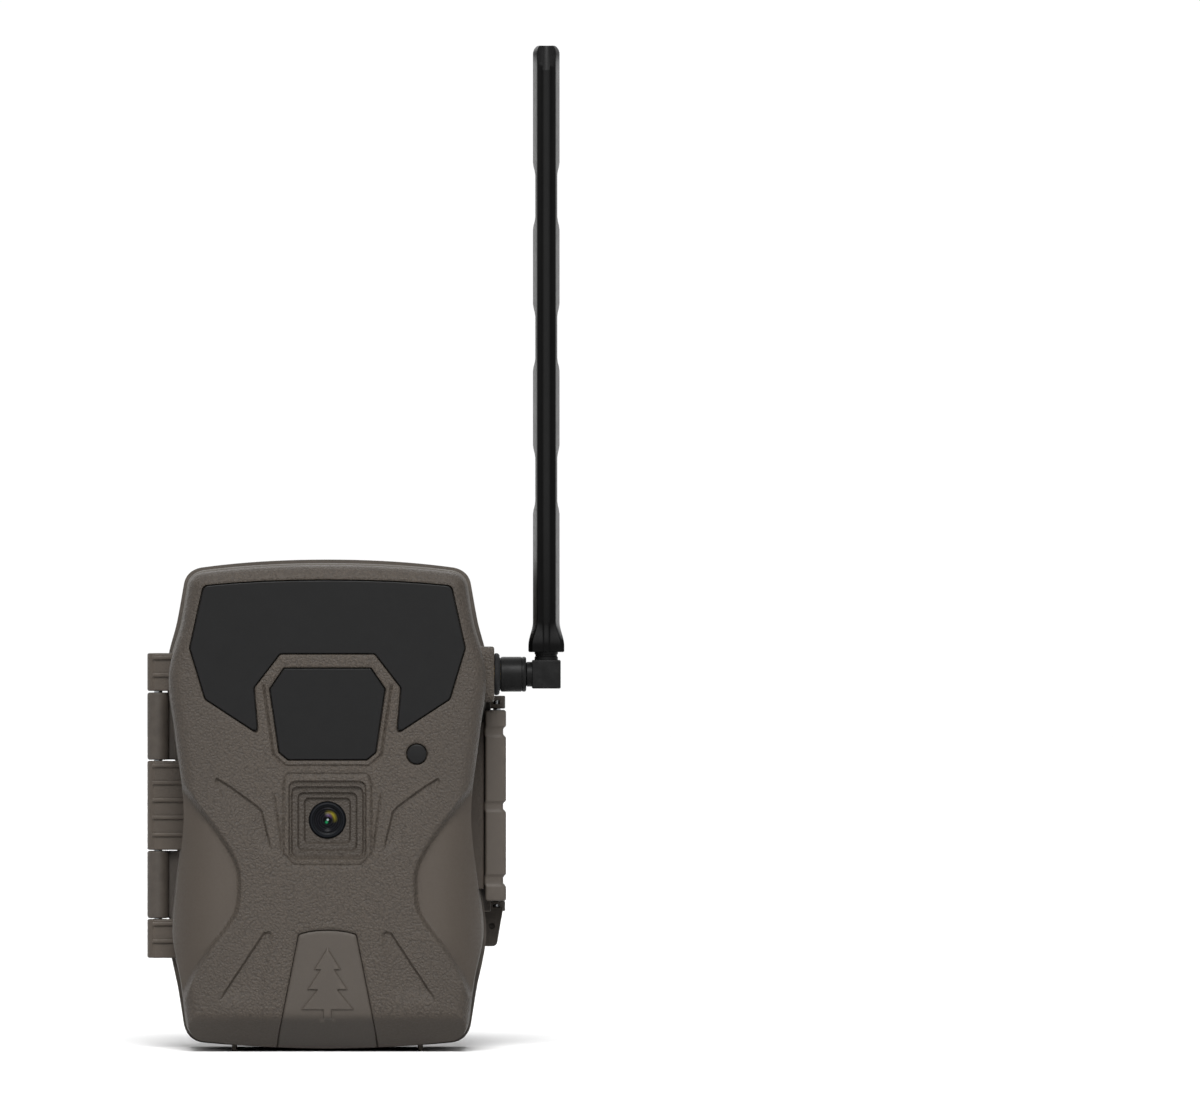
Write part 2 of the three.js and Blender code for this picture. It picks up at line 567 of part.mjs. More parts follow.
function housingKnuckles() {
  const pieces = HOUSING_KNUCKLES.flatMap(([bottom, top]) => {
    const barrel = rod(HINGE.barrelRadius, bottom, top, Z_AXIS, [HINGE.x, HINGE.y, 0]);
    const rearY = HINGE.y + HINGE.barrelRadius;
    const web = block([HINGE.x, -44.5], [SPLIT_Y + 0.4, rearY], [bottom, top]);
    return [barrel, web];
  });
  return joined(...pieces);
}

function latchBrackets() {
  const ear = (bottom, top) => column(outlineShape(roundedOutline([
    [44.5, LATCH.y + 5], [LATCH_OUTER_X - 0.1, LATCH.y + 3, 2.6], [LATCH_OUTER_X - 0.1, LATCH.y - 3, 2.6],
    [44.5, LATCH.y - 3],
  ])), bottom, top);
  const lockTab = plate(outlineShape([[44, 44], [54.8, 44], [54.8, 42.9], [52.9, 31.9], [44, 31.9]]), 1.5, -2);
  const lockDimple = rod(1, -5, -0.5, Y_AXIS, [51.4, 0, 38.2], 16);
  const rail = block([44, 51], [-9.6, -5.5], [EAR_LEVELS[0][0], EAR_LEVELS[1][1]]);
  const ears = EAR_LEVELS.map(([bottom, top]) => ear(bottom, top));
  return cut(joined(rail, lockTab, ...ears), lockDimple);
}

function rearHousing() {
  const doorSweep = rod(HINGE.barrelRadius + 0.4, 27.9, 124.2, Z_AXIS, [HINGE.x, HINGE.y, 0]);
  const pad = block([-PAD_HALF_WIDTH, PAD_HALF_WIDTH], [-7, 16], [0, 3]);
  const foot = (x) => block([x - FOOT_WIDTH / 2, x + FOOT_WIDTH / 2], [-8, 14], [0, 3]);
  const outside = joined(cut(housingForm(), doorSweep), housingKnuckles(), latchBrackets(), pad,
    foot(-FOOT_X), foot(FOOT_X), ...PAD_LEVELS.map(treePad), strapBridge(-1), strapBridge(1));

  const cavity = plate(outlineShape(inset(HOUSING_OUTLINE, WALL)), BACK_Y - WALL, SPLIT_Y - 1);
  const ledgeOuter = plate(outlineShape(inset(HOUSING_OUTLINE, WALL - 0.5)), -5.5, -7.5);
  const ledgeInner = plate(outlineShape(inset(HOUSING_OUTLINE, 5.2)), -5, -8);
  const tripodBoss = rod(6.8, 1, 12, Z_AXIS, [0, TRIPOD_Y, 0]);
  const shell = joined(cut(outside, cavity), cut(ledgeOuter, ledgeInner), tripodBoss);

  const tripodHole = rod(4.95, -1, 11.2, Z_AXIS, [0, TRIPOD_Y, 0]);
  const portPocket = block([-60, housingWallX + 1.2], [-0.3, 12.3], [68.6, 82.5]);
  const portHole = rod(4.1, -60, -40, X_AXIS, [0, DC_PORT.y, DC_PORT.z]);
  const hingeBore = rod(HINGE.boreRadius, 20, 130, Z_AXIS, [HINGE.x, HINGE.y, 0], 16);
  const latchBore = rod(LATCH.boreRadius, 43.6, 109.4, Z_AXIS, [LATCH.x, LATCH.y, 0], 16);
  return cut(shell, tripodHole, portPocket, portHole, hingeBore, latchBore);
}
addPart('rear_housing', geometryOf(rearHousing()), SHELL_DARK);

addPart('tripod_insert', geometryOf(pipe(4.8, 2.6, 0.5, 11, Z_AXIS, [0, TRIPOD_Y, 0])), BRASS);
addPart('hinge_pin', geometryOf(
  rod(HINGE.pinRadius, 28.9, 123.2, Z_AXIS, [HINGE.x, HINGE.y, 0], 16)), STEEL);
addPart('latch_pin', geometryOf(
  rod(LATCH.pinRadius, 43.8, 109.2, Z_AXIS, [LATCH.x, LATCH.y, 0], 16)), STEEL);

const sealOutline = inset(HOUSING_OUTLINE, WALL + GAP);
addPart('door_seal', geometryOf(cut(
  plate(outlineShape(sealOutline), -7.8, -9.9),
  plate(outlineShape(inset(HOUSING_OUTLINE, 4.9)), -7, -11))), RUBBER);

// The power socket, and the rubber cover that hinges down over it.
addPart('dc_jack', geometryOf(turned([
  [0, -43], [3, -43], [3, -45], [3.8, -45], [3.8, -34.5], [0, -34.5],
], X_AXIS, [0, DC_PORT.y, DC_PORT.z])), BLACK_PLASTIC);

const coverPlate = block([housingWallX - 0.2, housingWallX + 0.9], [0, 12], [69.8, 82.2]);
const coverPlug = rod(2.2, housingWallX + 0.5, housingWallX + 2, X_AXIS, [0, DC_PORT.y, DC_PORT.z], 16);
addPart('dc_cover', geometryOf(coverPlate.add(coverPlug)), RUBBER);

// ---------- Battery tray ----------

const columnsX = [-1.5, -0.5, 0.5, 1.5].map((step) => step * CELL.pitch);
const trayTop = BAY_BOTTOMS[1] + BAY_HEIGHT;

function batteryTray() {
  const body = block([-33, 33], [-1, 16.8], [BAY_BOTTOMS[0] - 2, trayTop + 2]);
  const bays = BAY_BOTTOMS.map((bottom) => block([-31.3, 31.3], [-2, 15.3], [bottom, bottom + BAY_HEIGHT]));
  return cut(body, ...bays);
}
addPart('battery_tray', geometryOf(batteryTray()), GREY_PLASTIC);

// Neighbouring cells face opposite ways, so each strip has a spring under every second cell.
BAY_BOTTOMS.forEach((bottom, bay) => {
  const STRIP = 0.5;
  const springFoot = bottom + GAP + STRIP;
  columnsX.forEach((x, index) => {
    const nubUp = index % 2 === 0;
    const base = nubUp ? springFoot + SPRING_HEIGHT + GAP : bottom + BAY_HEIGHT - GAP - STRIP - SPRING_HEIGHT - GAP;
    const profile = [
      [0, 0], [CELL.radius - 0.6, 0], [CELL.radius, 0.6], [CELL.radius, CELL.length - 0.8],
      [CELL.radius - 0.8, CELL.length], [CELL.nubRadius, CELL.length],
      [CELL.nubRadius, CELL.length + CELL.nubLength], [0, CELL.length + CELL.nubLength],
    ];
    const direction = nubUp ? Z_AXIS : Z_AXIS.clone().negate();
    addPart(`aa_cell_${bay * columnsX.length + index + 1}`,
      geometryOf(turned(profile, direction, [x, CELL.y, base], 14)), CELL_JACKET);
  });
  const strip = (name, z, direction, springColumns) => {
    const sheet = block([-30.5, 30.5], [1.2, 14.2], [z, z + STRIP]);
    const springs = springColumns.map((x) => turned([
      [0, 0], [3.6, 0], [2.2, SPRING_HEIGHT], [0, SPRING_HEIGHT],
    ], direction, [x, CELL.y, z + STRIP / 2], 16));
    addPart(name, geometryOf(joined(sheet, ...springs)), STEEL);
  };
  const label = bay === 0 ? 'lower' : 'upper';
  strip(`contact_${label}_bottom`, bottom + GAP, Z_AXIS, [columnsX[0], columnsX[2]]);
  strip(`contact_${label}_top`, bottom + BAY_HEIGHT - GAP - STRIP, Z_AXIS.clone().negate(),
    [columnsX[1], columnsX[3]]);
});

// ---------- Latch lever ----------

function latchLever() {
  const { x, y, bossRadius } = LATCH;
  const inner = x - 0.6;
  const outline = roundedOutline([
    [x - bossRadius, y + bossRadius, 2.4], [LATCH_OUTER_X, y + bossRadius, 2.4], [LATCH_OUTER_X, -18, 1.6],
    [49.2, -18, 0.8], [49.2, -14.4, 0.6], [inner, -13.2, 1.5], [inner, y - bossRadius - 0.6, 1],
    [x - bossRadius, y - bossRadius + 1, 1],
  ]);
  const lever = column(outlineShape(outline), LATCH.bottom, LATCH.top);
  const grooves = [[50.7, 54.9], [73.9, 77.8], [97.2, 101.1]].map(([bottom, top]) =>
    column(outlineShape([[LATCH_OUTER_X - 0.9, -30], [60, -30], [60, 10], [LATCH_OUTER_X - 0.9, 10]]), bottom, top));
  const bore = rod(LATCH.boreRadius, 40, 110, Z_AXIS, [x, y, 0], 16);
  return cut(lever, ...grooves, bore);
}
addPart('latch_lever', geometryOf(latchLever()), SHELL_DARK);

// ---------- Antenna ----------

const connector = [0, ANTENNA.y, ANTENNA.z];

addPart('antenna_port', geometryOf(turned([
  [0, 43.6], [4.8, 43.6], [4.8, 45.2], [3.05, 45.2], [3.05, 60.4], [0, 60.4],
], X_AXIS, connector)), BRASS);
addPart('antenna_seal_ring', geometryOf(turned([
  [3.4, BOSS_X + 0.1], [6.55, BOSS_X + 0.1], [6.55, 52.9], [5.9, 53.6], [3.4, 53.6], [3.4, BOSS_X + 0.1],
], X_AXIS, connector)), RUBBER);
addPart('antenna_nut', geometryOf(turned([
  [3.3, 53.9], [5.1, 53.9], [5.45, 54.3], [5.45, 61.5], [5.1, 61.9], [2.3, 61.9], [2.3, 60.8],
  [3.3, 60.8], [3.3, 53.9],
], X_AXIS, connector)), BLACK_PLASTIC);

const ELBOW_SIZE = 8.9;
const NECK_TOP = 123.8;
const MAST_BOTTOM = 124;

function antennaElbow() {
  const half = ELBOW_SIZE / 2;
  const cube = block([ANTENNA.mastX - half, ANTENNA.mastX + half], [ANTENNA.y - half, ANTENNA.y + half],
    [ANTENNA.z - half, ANTENNA.z + half]);
  const neck = turned([[0, 60.9], [2, 60.9], [2, 62.2], [3.87, 62.2], [3.87, 64], [0, 64]], X_AXIS, connector);
  const upperNeck = rod(3.65, ANTENNA.z, NECK_TOP, Z_AXIS, [ANTENNA.mastX, ANTENNA.y, 0]);
  return joined(cube, neck, upperNeck);
}
addPart('antenna_elbow', geometryOf(antennaElbow()), BLACK_PLASTIC);

// A square column with a flared foot, a chamfered tip, and fins over four stretches.
function antennaMast() {
  const columnHalf = 3.4;
  const finHalf = 4.35;
  const finThickness = 1.6;
  const footHalf = 5.5;
  const centre = [ANTENNA.mastX, ANTENNA.y];
  const sections = [
    [MAST_BOTTOM, footHalf - 0.3], [MAST_BOTTOM + 1, footHalf], [MAST_BOTTOM + 3.4, 5.1],
    [MAST_BOTTOM + 7.2, 3.9], [MAST_BOTTOM + 12, columnHalf], [ANTENNA.top - 2.6, columnHalf],
    [ANTENNA.top - 0.9, 2.7], [ANTENNA.top, 1.6],
  ];
  const profile = [[0, sections[0][0]], ...sections.map(([z, half]) => [half * Math.SQRT2, z]),
    [0, ANTENNA.top]];
  const turnedSquare = new THREE.LatheGeometry(vectors(profile), 4, Math.PI / 4);
  turnedSquare.rotateX(Math.PI / 2);
  turnedSquare.translate(centre[0], centre[1], 0);
  const mast = solid(turnedSquare);
  const foot = MAST_BOTTOM + 5;
  const fins = [[foot, 171, 1, 4], [184.5, 215.5, 4, 4], [228.5, 259.5, 4, 4], [272.5, 311, 4, 1.2]];
  const finPairs = fins.flatMap(([bottom, top, lowTaper, topTaper]) => {
    const outline = (middle) => [
      [middle - columnHalf + 0.5, bottom], [middle - finHalf, bottom + lowTaper],
      [middle - finHalf, top - topTaper], [middle - columnHalf + 0.5, top],
      [middle + columnHalf - 0.5, top], [middle + finHalf, top - topTaper],
      [middle + finHalf, bottom + lowTaper], [middle + columnHalf - 0.5, bottom],
    ];
    const acrossX = plate(outlineShape(outline(centre[0])), centre[1] + finThickness, centre[1] - finThickness);
    const acrossY = beam(outlineShape(outline(centre[1])), centre[0] - finThickness, centre[0] + finThickness);
    return [acrossX, acrossY];
  });
  return joined(mast, ...finPairs);
}
addPart('antenna_mast', geometryOf(antennaMast()), BLACK_PLASTIC);

export default camera;
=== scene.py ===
"""The looks of a cellular trail camera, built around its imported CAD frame.

Dimensions are in millimetres, in the frame of the CAD: the front faces -Y, +Z is up and +X is the latch
side. A mesh becomes metres in new_object(). Outlines are lists of (x, z) points.
"""

import math

import bmesh
import bpy
import numpy as np
from mathutils import Matrix, Vector
from mathutils.geometry import delaunay_2d_cdt
from mathutils.kdtree import KDTree


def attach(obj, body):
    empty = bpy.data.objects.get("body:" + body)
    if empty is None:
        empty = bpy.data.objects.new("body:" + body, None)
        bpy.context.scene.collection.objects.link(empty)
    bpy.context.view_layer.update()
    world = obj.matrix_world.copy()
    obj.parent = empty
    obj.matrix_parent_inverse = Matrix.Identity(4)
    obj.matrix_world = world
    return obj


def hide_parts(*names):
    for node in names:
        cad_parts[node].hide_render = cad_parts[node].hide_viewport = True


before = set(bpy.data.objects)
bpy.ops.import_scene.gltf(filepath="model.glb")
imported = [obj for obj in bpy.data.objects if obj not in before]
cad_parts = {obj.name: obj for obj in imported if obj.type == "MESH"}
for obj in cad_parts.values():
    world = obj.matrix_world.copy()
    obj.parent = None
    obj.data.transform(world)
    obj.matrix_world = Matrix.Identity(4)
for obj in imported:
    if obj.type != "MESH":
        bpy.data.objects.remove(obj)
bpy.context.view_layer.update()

MM = 0.001

# ---------- Dimensions shared with the CAD ----------

FRONT_Y = -46
SPLIT_Y = -10
BACK_Y = 20
WALL = 2.4
GAP = 0.3

DOOR_BACK_Y = SPLIT_Y - GAP
EDGE_DEPTH = 6
EDGE_WIDTH = 4.6
SOLE_SLOPE_Z = 11
SKIN_STEP = 2
PANEL_HALF_WIDTH = 49
PANEL_ROUND = 16
WINDOW_DEPTH = 2.2
WINDOW_GAP = 0.25

HINGE = (-52.8, -10)
HINGE_BARREL = 3.4
DOOR_KNUCKLES = [(28.5, 40.6), (62.2, 90.0), (111.8, 123.6)]
HOUSING_KNUCKLES = [(40.9, 61.9), (90.3, 111.3)]

LENS_Z = 72
LENS_FLOOR_Y = FRONT_Y + 4
SENSOR = (27.7, 92.5)
ANTENNA_Y, ANTENNA_Z, MAST_X = -22, 117.1, 68.15
BOSS_X, BOSS_HALF_WIDTH = 51.9, 8.6

# ---------- Camera, floor and light ----------


def add_object(name, data):
    """Puts a mesh, a lamp or the camera into the scene."""
    thing = bpy.data.objects.new(name, data)
    bpy.context.scene.collection.objects.link(thing)
    return thing


def mesh_from(bm, name):
    """Turns a finished bmesh into a mesh."""
    mesh = bpy.data.meshes.new(name)
    bm.to_mesh(mesh)
    bm.free()
    return mesh


FRAME_WIDTH = 372        # what the picture spans at the object's front
OBJECT_LEFT = 84.5       # the object stands this far left of the picture's middle
EYE_HEIGHT = 153.6
LENS_LENGTH = 500
SENSOR_WIDTH = 36
WORLD_WHITE = 1.02
WORLD_FILL = 0.28


def make_camera():
    camera = add_object("camera", bpy.data.cameras.new("camera"))
    distance = FRAME_WIDTH * LENS_LENGTH / SENSOR_WIDTH
    camera.data.lens = LENS_LENGTH
    camera.data.sensor_width = SENSOR_WIDTH
    camera.data.shift_x = OBJECT_LEFT / FRAME_WIDTH
    camera.data.clip_end = 60
    camera.location = (0, (FRONT_Y - distance) * MM, EYE_HEIGHT * MM)
    camera.rotation_euler = (math.radians(90), 0, 0)
    bpy.context.scene.camera = camera


def add_lamp(kind, name, energy, direction, place=(0, 0, 0), **settings):
    light = bpy.data.lights.new(name, kind)
    light.energy = energy
    for setting, value in settings.items():
        setattr(light, setting, value)
    lamp = add_object(name, light)
    lamp.location = place
    lamp.rotation_euler = Vector(direction).to_track_quat("-Z", "Y").to_euler()


def make_stage():
    bm = bmesh.new()
    bmesh.ops.create_grid(bm, x_segments=8, y_segments=8, size=9)
    floor = add_object("floor", mesh_from(bm, "floor"))
    paint = bpy.data.materials.new("floor")
    paint.use_nodes = True
    shader = paint.node_tree.nodes["Principled BSDF"]
    shader.inputs["Base Color"].default_value = (0.96, 0.96, 0.96, 1)
    shader.inputs["Roughness"].default_value = 1
    shader.inputs["Specular IOR Level"].default_value = 0
    floor.data.materials.append(paint)

    # The white surroundings show and reflect at full strength, and light diffuse surfaces more weakly.
    world = bpy.data.worlds.new("studio")
    world.use_nodes = True
    tree = world.node_tree
    background = tree.nodes["Background"]
    background.inputs["Color"].default_value = (1, 1, 1, 1)
    strength = tree.nodes.new("ShaderNodeMapRange")
    strength.inputs["To Min"].default_value = WORLD_WHITE
    strength.inputs["To Max"].default_value = WORLD_FILL
    tree.links.new(tree.nodes.new("ShaderNodeLightPath").outputs["Is Diffuse Ray"], strength.inputs["Value"])
    tree.links.new(strength.outputs["Result"], background.inputs["Strength"])
    bpy.context.scene.world = world
    bpy.context.scene.view_settings.view_transform = "Standard"

    add_lamp("SUN", "sun", 3.55, (0.02, 1, -1), angle=math.radians(26))
    add_lamp("SUN", "rear_fill", 0.9, (0.35, -1, -0.8), angle=math.radians(60))
    place = Vector((0.05, -1.3, 0.6))
    target = Vector((0, 0, 0.08))
    add_lamp("AREA", "key", 3.5, target - place, place, shape="DISK", size=0.35)


# ---------- Materials ----------


class Paint:
    """A procedural material under construction. Lengths are in millimetres."""

    def __init__(self, name, roughness, metallic=0.0, specular=0.5):
        self.material = bpy.data.materials.new(name)
        self.material.use_nodes = True
        self.tree = self.material.node_tree
        self.shader = self.tree.nodes["Principled BSDF"]
        self.constant("Roughness", roughness)
        self.constant("Metallic", metallic)
        self.constant("Specular IOR Level", specular)
        self.place = self.node("ShaderNodeTexCoord").outputs["Object"]

    def constant(self, socket, value):
        self.shader.inputs[socket].default_value = value

    def node(self, kind, **settings):
        node = self.tree.nodes.new(kind)
        for name, value in settings.items():
            setattr(node, name, value)
        return node

    def link(self, source, target):
        self.tree.links.new(source, target)

    def noise(self, size, detail=2.0, stretch=None):
        """Noise with features about `size` across, from 0 to 1."""
        node = self.node("ShaderNodeTexNoise")
        node.inputs["Scale"].default_value = 1 / (size * MM)
        node.inputs["Detail"].default_value = detail
        place = self.place
        if stretch:
            mapping = self.node("ShaderNodeMapping")
            mapping.inputs["Scale"].default_value = stretch
            self.link(place, mapping.inputs["Vector"])
            place = mapping.outputs["Vector"]
        self.link(place, node.inputs["Vector"])
        return node.outputs["Fac"]

    def cells(self, size):
        """Distance to the nearest cell centre, from 0 in the centre."""
        node = self.node("ShaderNodeTexVoronoi")
        node.inputs["Scale"].default_value = 1 / (size * MM)
        self.link(self.place, node.inputs["Vector"])
        return node.outputs["Distance"]

    def ranged(self, source, low, high, to_low=0.0, to_high=1.0):
        node = self.node("ShaderNodeMapRange")
        values = {"From Min": low, "From Max": high, "To Min": to_low, "To Max": to_high}
        for name, value in values.items():
            node.inputs[name].default_value = value
        self.link(source, node.inputs["Value"])
        return node.outputs["Result"]

    def attribute(self, name):
        return self.node("ShaderNodeAttribute", attribute_name=name).outputs["Fac"]

    def maths(self, operation, first, second):
        node = self.node("ShaderNodeMath", operation=operation)
        for socket, value in zip(node.inputs, (first, second)):
            if isinstance(value, (int, float)):
                socket.default_value = value
            else:
                self.link(value, socket)
        return node.outputs["Value"]

    def mixed(self, factor, first, second):
        node = self.node("ShaderNodeMix", data_type="RGBA")
        self.link(factor, node.inputs["Factor"])
        for socket, value in ((node.inputs["A"], first), (node.inputs["B"], second)):
            if isinstance(value, tuple):
                socket.default_value = (*value, 1)
            else:
                self.link(value, socket)
        return node.outputs["Result"]

    def colour(self, source):
        self.link(source, self.shader.inputs["Base Color"])

    def vary_roughness(self, source, low, high):
        self.link(self.ranged(source, 0.3, 0.7, low, high), self.shader.inputs["Roughness"])

    def bump(self, height, depth, strength=1.0):
        """Relief of `depth` millimetres between 0 and 1 of `height`."""
        node = self.node("ShaderNodeBump")
        node.inputs["Distance"].default_value = depth * MM
        if isinstance(strength, (int, float)):
            node.inputs["Strength"].default_value = strength
        else:
            self.link(strength, node.inputs["Strength"])
        self.link(height, node.inputs["Height"])
        previous = self.shader.inputs["Normal"].links
        if previous:
            self.link(previous[0].from_socket, node.inputs["Normal"])
        self.link(node.outputs["Normal"], self.shader.inputs["Normal"])

    def edges(self):
        """1 on convex edges, 0 elsewhere."""
        return self.ranged(self.node("ShaderNodeNewGeometry").outputs["Pointiness"], 0.52, 0.6)

    def rubbed(self, size, start, amount):
        """Up to `amount` on edges, in patches about `size` across."""
        return self.maths("MULTIPLY", self.edges(), self.ranged(self.noise(size, 4), start, 0.7, 0, amount))


def linear(hex_colour):
    """A colour written as sRGB, as the linear values that a socket takes."""
    channels = [int(hex_colour[i:i + 2], 16) / 255 for i in (0, 2, 4)]
    return tuple(c / 12.92 if c <= 0.04045 else ((c + 0.055) / 1.055) ** 2.4 for c in channels)


def scaled(colour, factor):
    return tuple(channel * factor for channel in colour)


def moulded(name, hex_colour, roughness, grain=0.8, relief=0.02, mottle=0.12, wear=0.35, specular=0.4,
            print_colour=(0.3, 0.3, 0.3)):
    """Moulded plastic: faint mottling, a fine texture and paler rubbed edges. It is darker where the
    "shade" attribute is 1, and printed where "print" is 1."""
    paint = Paint(name, roughness, specular=specular)
    colour = linear(hex_colour)
    broad = paint.noise(14, 3)
    fine = paint.noise(grain, 3)
    body = paint.mixed(broad, scaled(colour, 1 - mottle), scaled(colour, 1 + mottle))
    body = paint.mixed(paint.attribute("shade"), body, scaled(colour, 0.4))
    body = paint.mixed(paint.attribute("print"), body, print_colour)
    paint.colour(paint.mixed(paint.rubbed(3, 0.35, wear), body, scaled(colour, 2.2)))
    paint.vary_roughness(fine, roughness - 0.06, roughness + 0.06)
    paint.bump(fine, relief)
    return paint.material


def skin_paint():
    """The door: leather-like grain where the "grain" attribute is 1, satin plastic where it is 0, a paler
    painted highlight on the "bead" and painted shade, darker, where "shade" is 1."""
    paint = Paint("grained_skin", 0.6, specular=0.3)
    base = linear("3e3730")
    grain = paint.attribute("grain")
    pebbles = paint.cells(0.8)
    pits = paint.noise(0.6, 3)
    height = paint.maths("SUBTRACT", pits, paint.maths("MULTIPLY", pebbles, 0.55))
    broad = paint.noise(16, 3)
    body = paint.mixed(broad, scaled(base, 0.92), scaled(base, 1.08))
    body = paint.mixed(paint.attribute("shade"), body, scaled(base, 0.4))
    speckle = paint.maths("MULTIPLY", grain, paint.ranged(height, 0.0, 0.42, 1, 0))
    grained = paint.mixed(speckle, body, scaled(base, 0.62))
    shell = paint.mixed(paint.rubbed(4, 0.4, 0.3), grained, scaled(base, 1.9))
    # Painted highlight: the bead round the door's rear edge is paler.
    paint.colour(paint.mixed(paint.attribute("bead"), shell, (0.1, 0.092, 0.082)))
    paint.vary_roughness(pits, 0.5, 0.66)
    paint.bump(paint.noise(0.35, 2), 0.01)
    paint.bump(height, 0.36, grain)
    return paint.material


def metal(name, hex_colour, roughness):
    """Metal with fine brushing across z, dulled patches and brighter edges."""
    paint = Paint(name, roughness, metallic=1.0)
    colour = linear(hex_colour)
    brushed = paint.noise(1.2, 4, (1, 1, 12))
    patches = paint.noise(6, 4)
    body = paint.mixed(patches, scaled(colour, 0.75), colour)
    paint.colour(paint.mixed(paint.maths("MULTIPLY", paint.edges(), 0.2), body, scaled(colour, 1.2)))
    paint.vary_roughness(patches, roughness, roughness + 0.2)
    paint.bump(brushed, 0.01)
    return paint.material


def lens_paint():
    """Coated glass seen from the front: faint rings about the axis, and a painted reflection of an amber arc
    with violet, green and white glints."""
    paint = Paint("coated_lens", 0.2, specular=0.05)
    flat = paint.node("ShaderNodeVectorMath", operation="MULTIPLY")
    paint.link(paint.place, flat.inputs[0])
    flat.inputs[1].default_value = (1, 0, 1)

    def spread(x, z):
        """Distance, in metres, from a line through the lens."""
        node = paint.node("ShaderNodeVectorMath", operation="DISTANCE")
        paint.link(flat.outputs["Vector"], node.inputs[0])
        node.inputs[1].default_value = (x * MM, 0, (LENS_Z + z) * MM)
        return node.outputs["Value"]

    def spot(x, z, radius):
        return paint.ranged(spread(x, z), 0, radius * MM, 1, 0)

    from_axis = spread(0, 0)
    rings = paint.node("ShaderNodeMath", operation="SINE")
    paint.link(paint.maths("MULTIPLY", from_axis, 9 / MM), rings.inputs[0])
    ringed = paint.ranged(rings.outputs["Value"], -1, 1)
    glass = paint.mixed(ringed, (0.001, 0.0012, 0.0018), (0.007, 0.007, 0.009))
    # Painted reflections: an amber arc and a violet glint.
    outer_arc = paint.ranged(from_axis, 3.3 * MM, 2.4 * MM)
    inner_arc = paint.ranged(from_axis, 1.5 * MM, 2.3 * MM)
    arc = paint.maths("MULTIPLY", paint.maths("MULTIPLY", outer_arc, inner_arc), spot(2, 2, 3))
    glass = paint.mixed(arc, glass, (0.19, 0.16, 0.012))
    glass = paint.mixed(paint.maths("MULTIPLY", spot(0.5, 1.2, 1.3), 0.7), glass, (0.06, 0.025, 0.09))
    pupil = paint.ranged(from_axis, 1.3 * MM, 1 * MM)
    glass = paint.mixed(pupil, glass, (0.0004, 0.0004, 0.0005))
    # Painted reflections: a green glint and a white highlight.
    glass = paint.mixed(spot(-0.25, -0.65, 0.65), glass, (0.01, 0.2, 0.07))
    glass = paint.mixed(paint.ranged(spread(0.1, 0.1), 0.45 * MM, 0.2 * MM), glass, (0.25, 0.3, 0.3))
    paint.colour(glass)
    paint.vary_roughness(paint.noise(1, 2), 0.18, 0.24)
    return paint.material


def whip_paint():
    """Black satin plastic: darker where "shade" is 1, and glossier where "gloss" is 1."""
    paint = Paint("antenna_plastic", 0.34)
    broad = paint.noise(9, 3)
    body = paint.mixed(broad, (0.007, 0.007, 0.007), (0.0095, 0.0095, 0.0095))
    body = paint.mixed(paint.attribute("shade"), body, (0.001, 0.001, 0.001))
    paint.colour(paint.mixed(paint.rubbed(3, 0.4, 0.15), body, (0.04, 0.04, 0.04)))
    paint.vary_roughness(paint.noise(2.5, 3), 0.3, 0.38)
    gloss = paint.ranged(paint.attribute("gloss"), 0, 1, 0.05, 1)
    paint.link(gloss, paint.shader.inputs["Specular IOR Level"])
    paint.bump(paint.noise(1.5, 2), 0.003)
    return paint.material


def smoked_paint():
    """The near-black plastic over the LEDs and the motion sensor."""
    paint = Paint("smoked_plastic", 0.42, specular=0.13)
    haze = paint.noise(22, 3)
    paint.colour(paint.mixed(haze, (0.0042, 0.0042, 0.0043), (0.0052, 0.0052, 0.0053)))
    paint.vary_roughness(paint.noise(5, 4), 0.38, 0.46)
    paint.bump(paint.noise(0.3, 2), 0.003)
    return paint.material


def board_paint():
    """Green circuit board with copper pads and a fine solder-mask texture."""
    paint = Paint("circuit_board", 0.45)
    mask = paint.mixed(paint.noise(5, 3), linear("153f22"), linear("1f5730"))
    pads = paint.ranged(paint.cells(2.6), 0.16, 0.12)
    tracks = paint.ranged(paint.noise(1.6, 0, (1, 1, 5)), 0.5, 0.53, 0, 0.35)
    tracked = paint.mixed(tracks, mask, linear("2c6b3d"))
    paint.colour(paint.mixed(pads, tracked, linear("c9a24e")))
    paint.bump(tracks, 0.03)
    return paint.material


def glass_paint(name, tint):
    """Dark glass with a coating that tints it slightly unevenly."""
    paint = Paint(name, 0.06, specular=0.6)
    paint.colour(paint.mixed(paint.noise(8, 2), scaled(tint, 0.7), tint))
    paint.vary_roughness(paint.noise(4, 4), 0.04, 0.1)
    return paint.material


PAINTS = {
    "skin": skin_paint(),
    "shell": moulded("shell_plastic", "423c36", 0.6, grain=0.5, specular=0.3),
    # The shell paint made darker, for painted shade on the housing.
    "shell_in_shade": moulded("shell_plastic_in_shade", "2c2722", 0.65, grain=0.5, specular=0.25),
    "smoked": smoked_paint(),
    "lens": lens_paint(),
    "bezel": moulded("bezel_plastic", "07090d", 0.5, grain=0.5, relief=0.004, wear=0.4, specular=0.1),
    "black": moulded("black_plastic", "0c0c0c", 0.42, grain=0.6, wear=0.15, specular=0.2),
    "whip": whip_paint(),
    "grey": moulded("grey_plastic", "303235", 0.55, grain=0.5, relief=0.03, wear=0),
    "rubber": moulded("rubber", "101011", 0.8, grain=0.4, relief=0.03, wear=0.1, specular=0.25),
    "glass": glass_paint("coated_glass", (0.012, 0.016, 0.03)),
    "steel": metal("steel", "b9bcbe", 0.28),
    "brass": metal("brass", "b9954b", 0.32),
    "board": board_paint(),
    "jacket": moulded("cell_jacket", "17191c", 0.35, grain=0.3, relief=0.006, mottle=0.06, wear=0.1,
                      print_colour=(0.38, 0.17, 0.07)),
}

# ---------- Outlines ----------


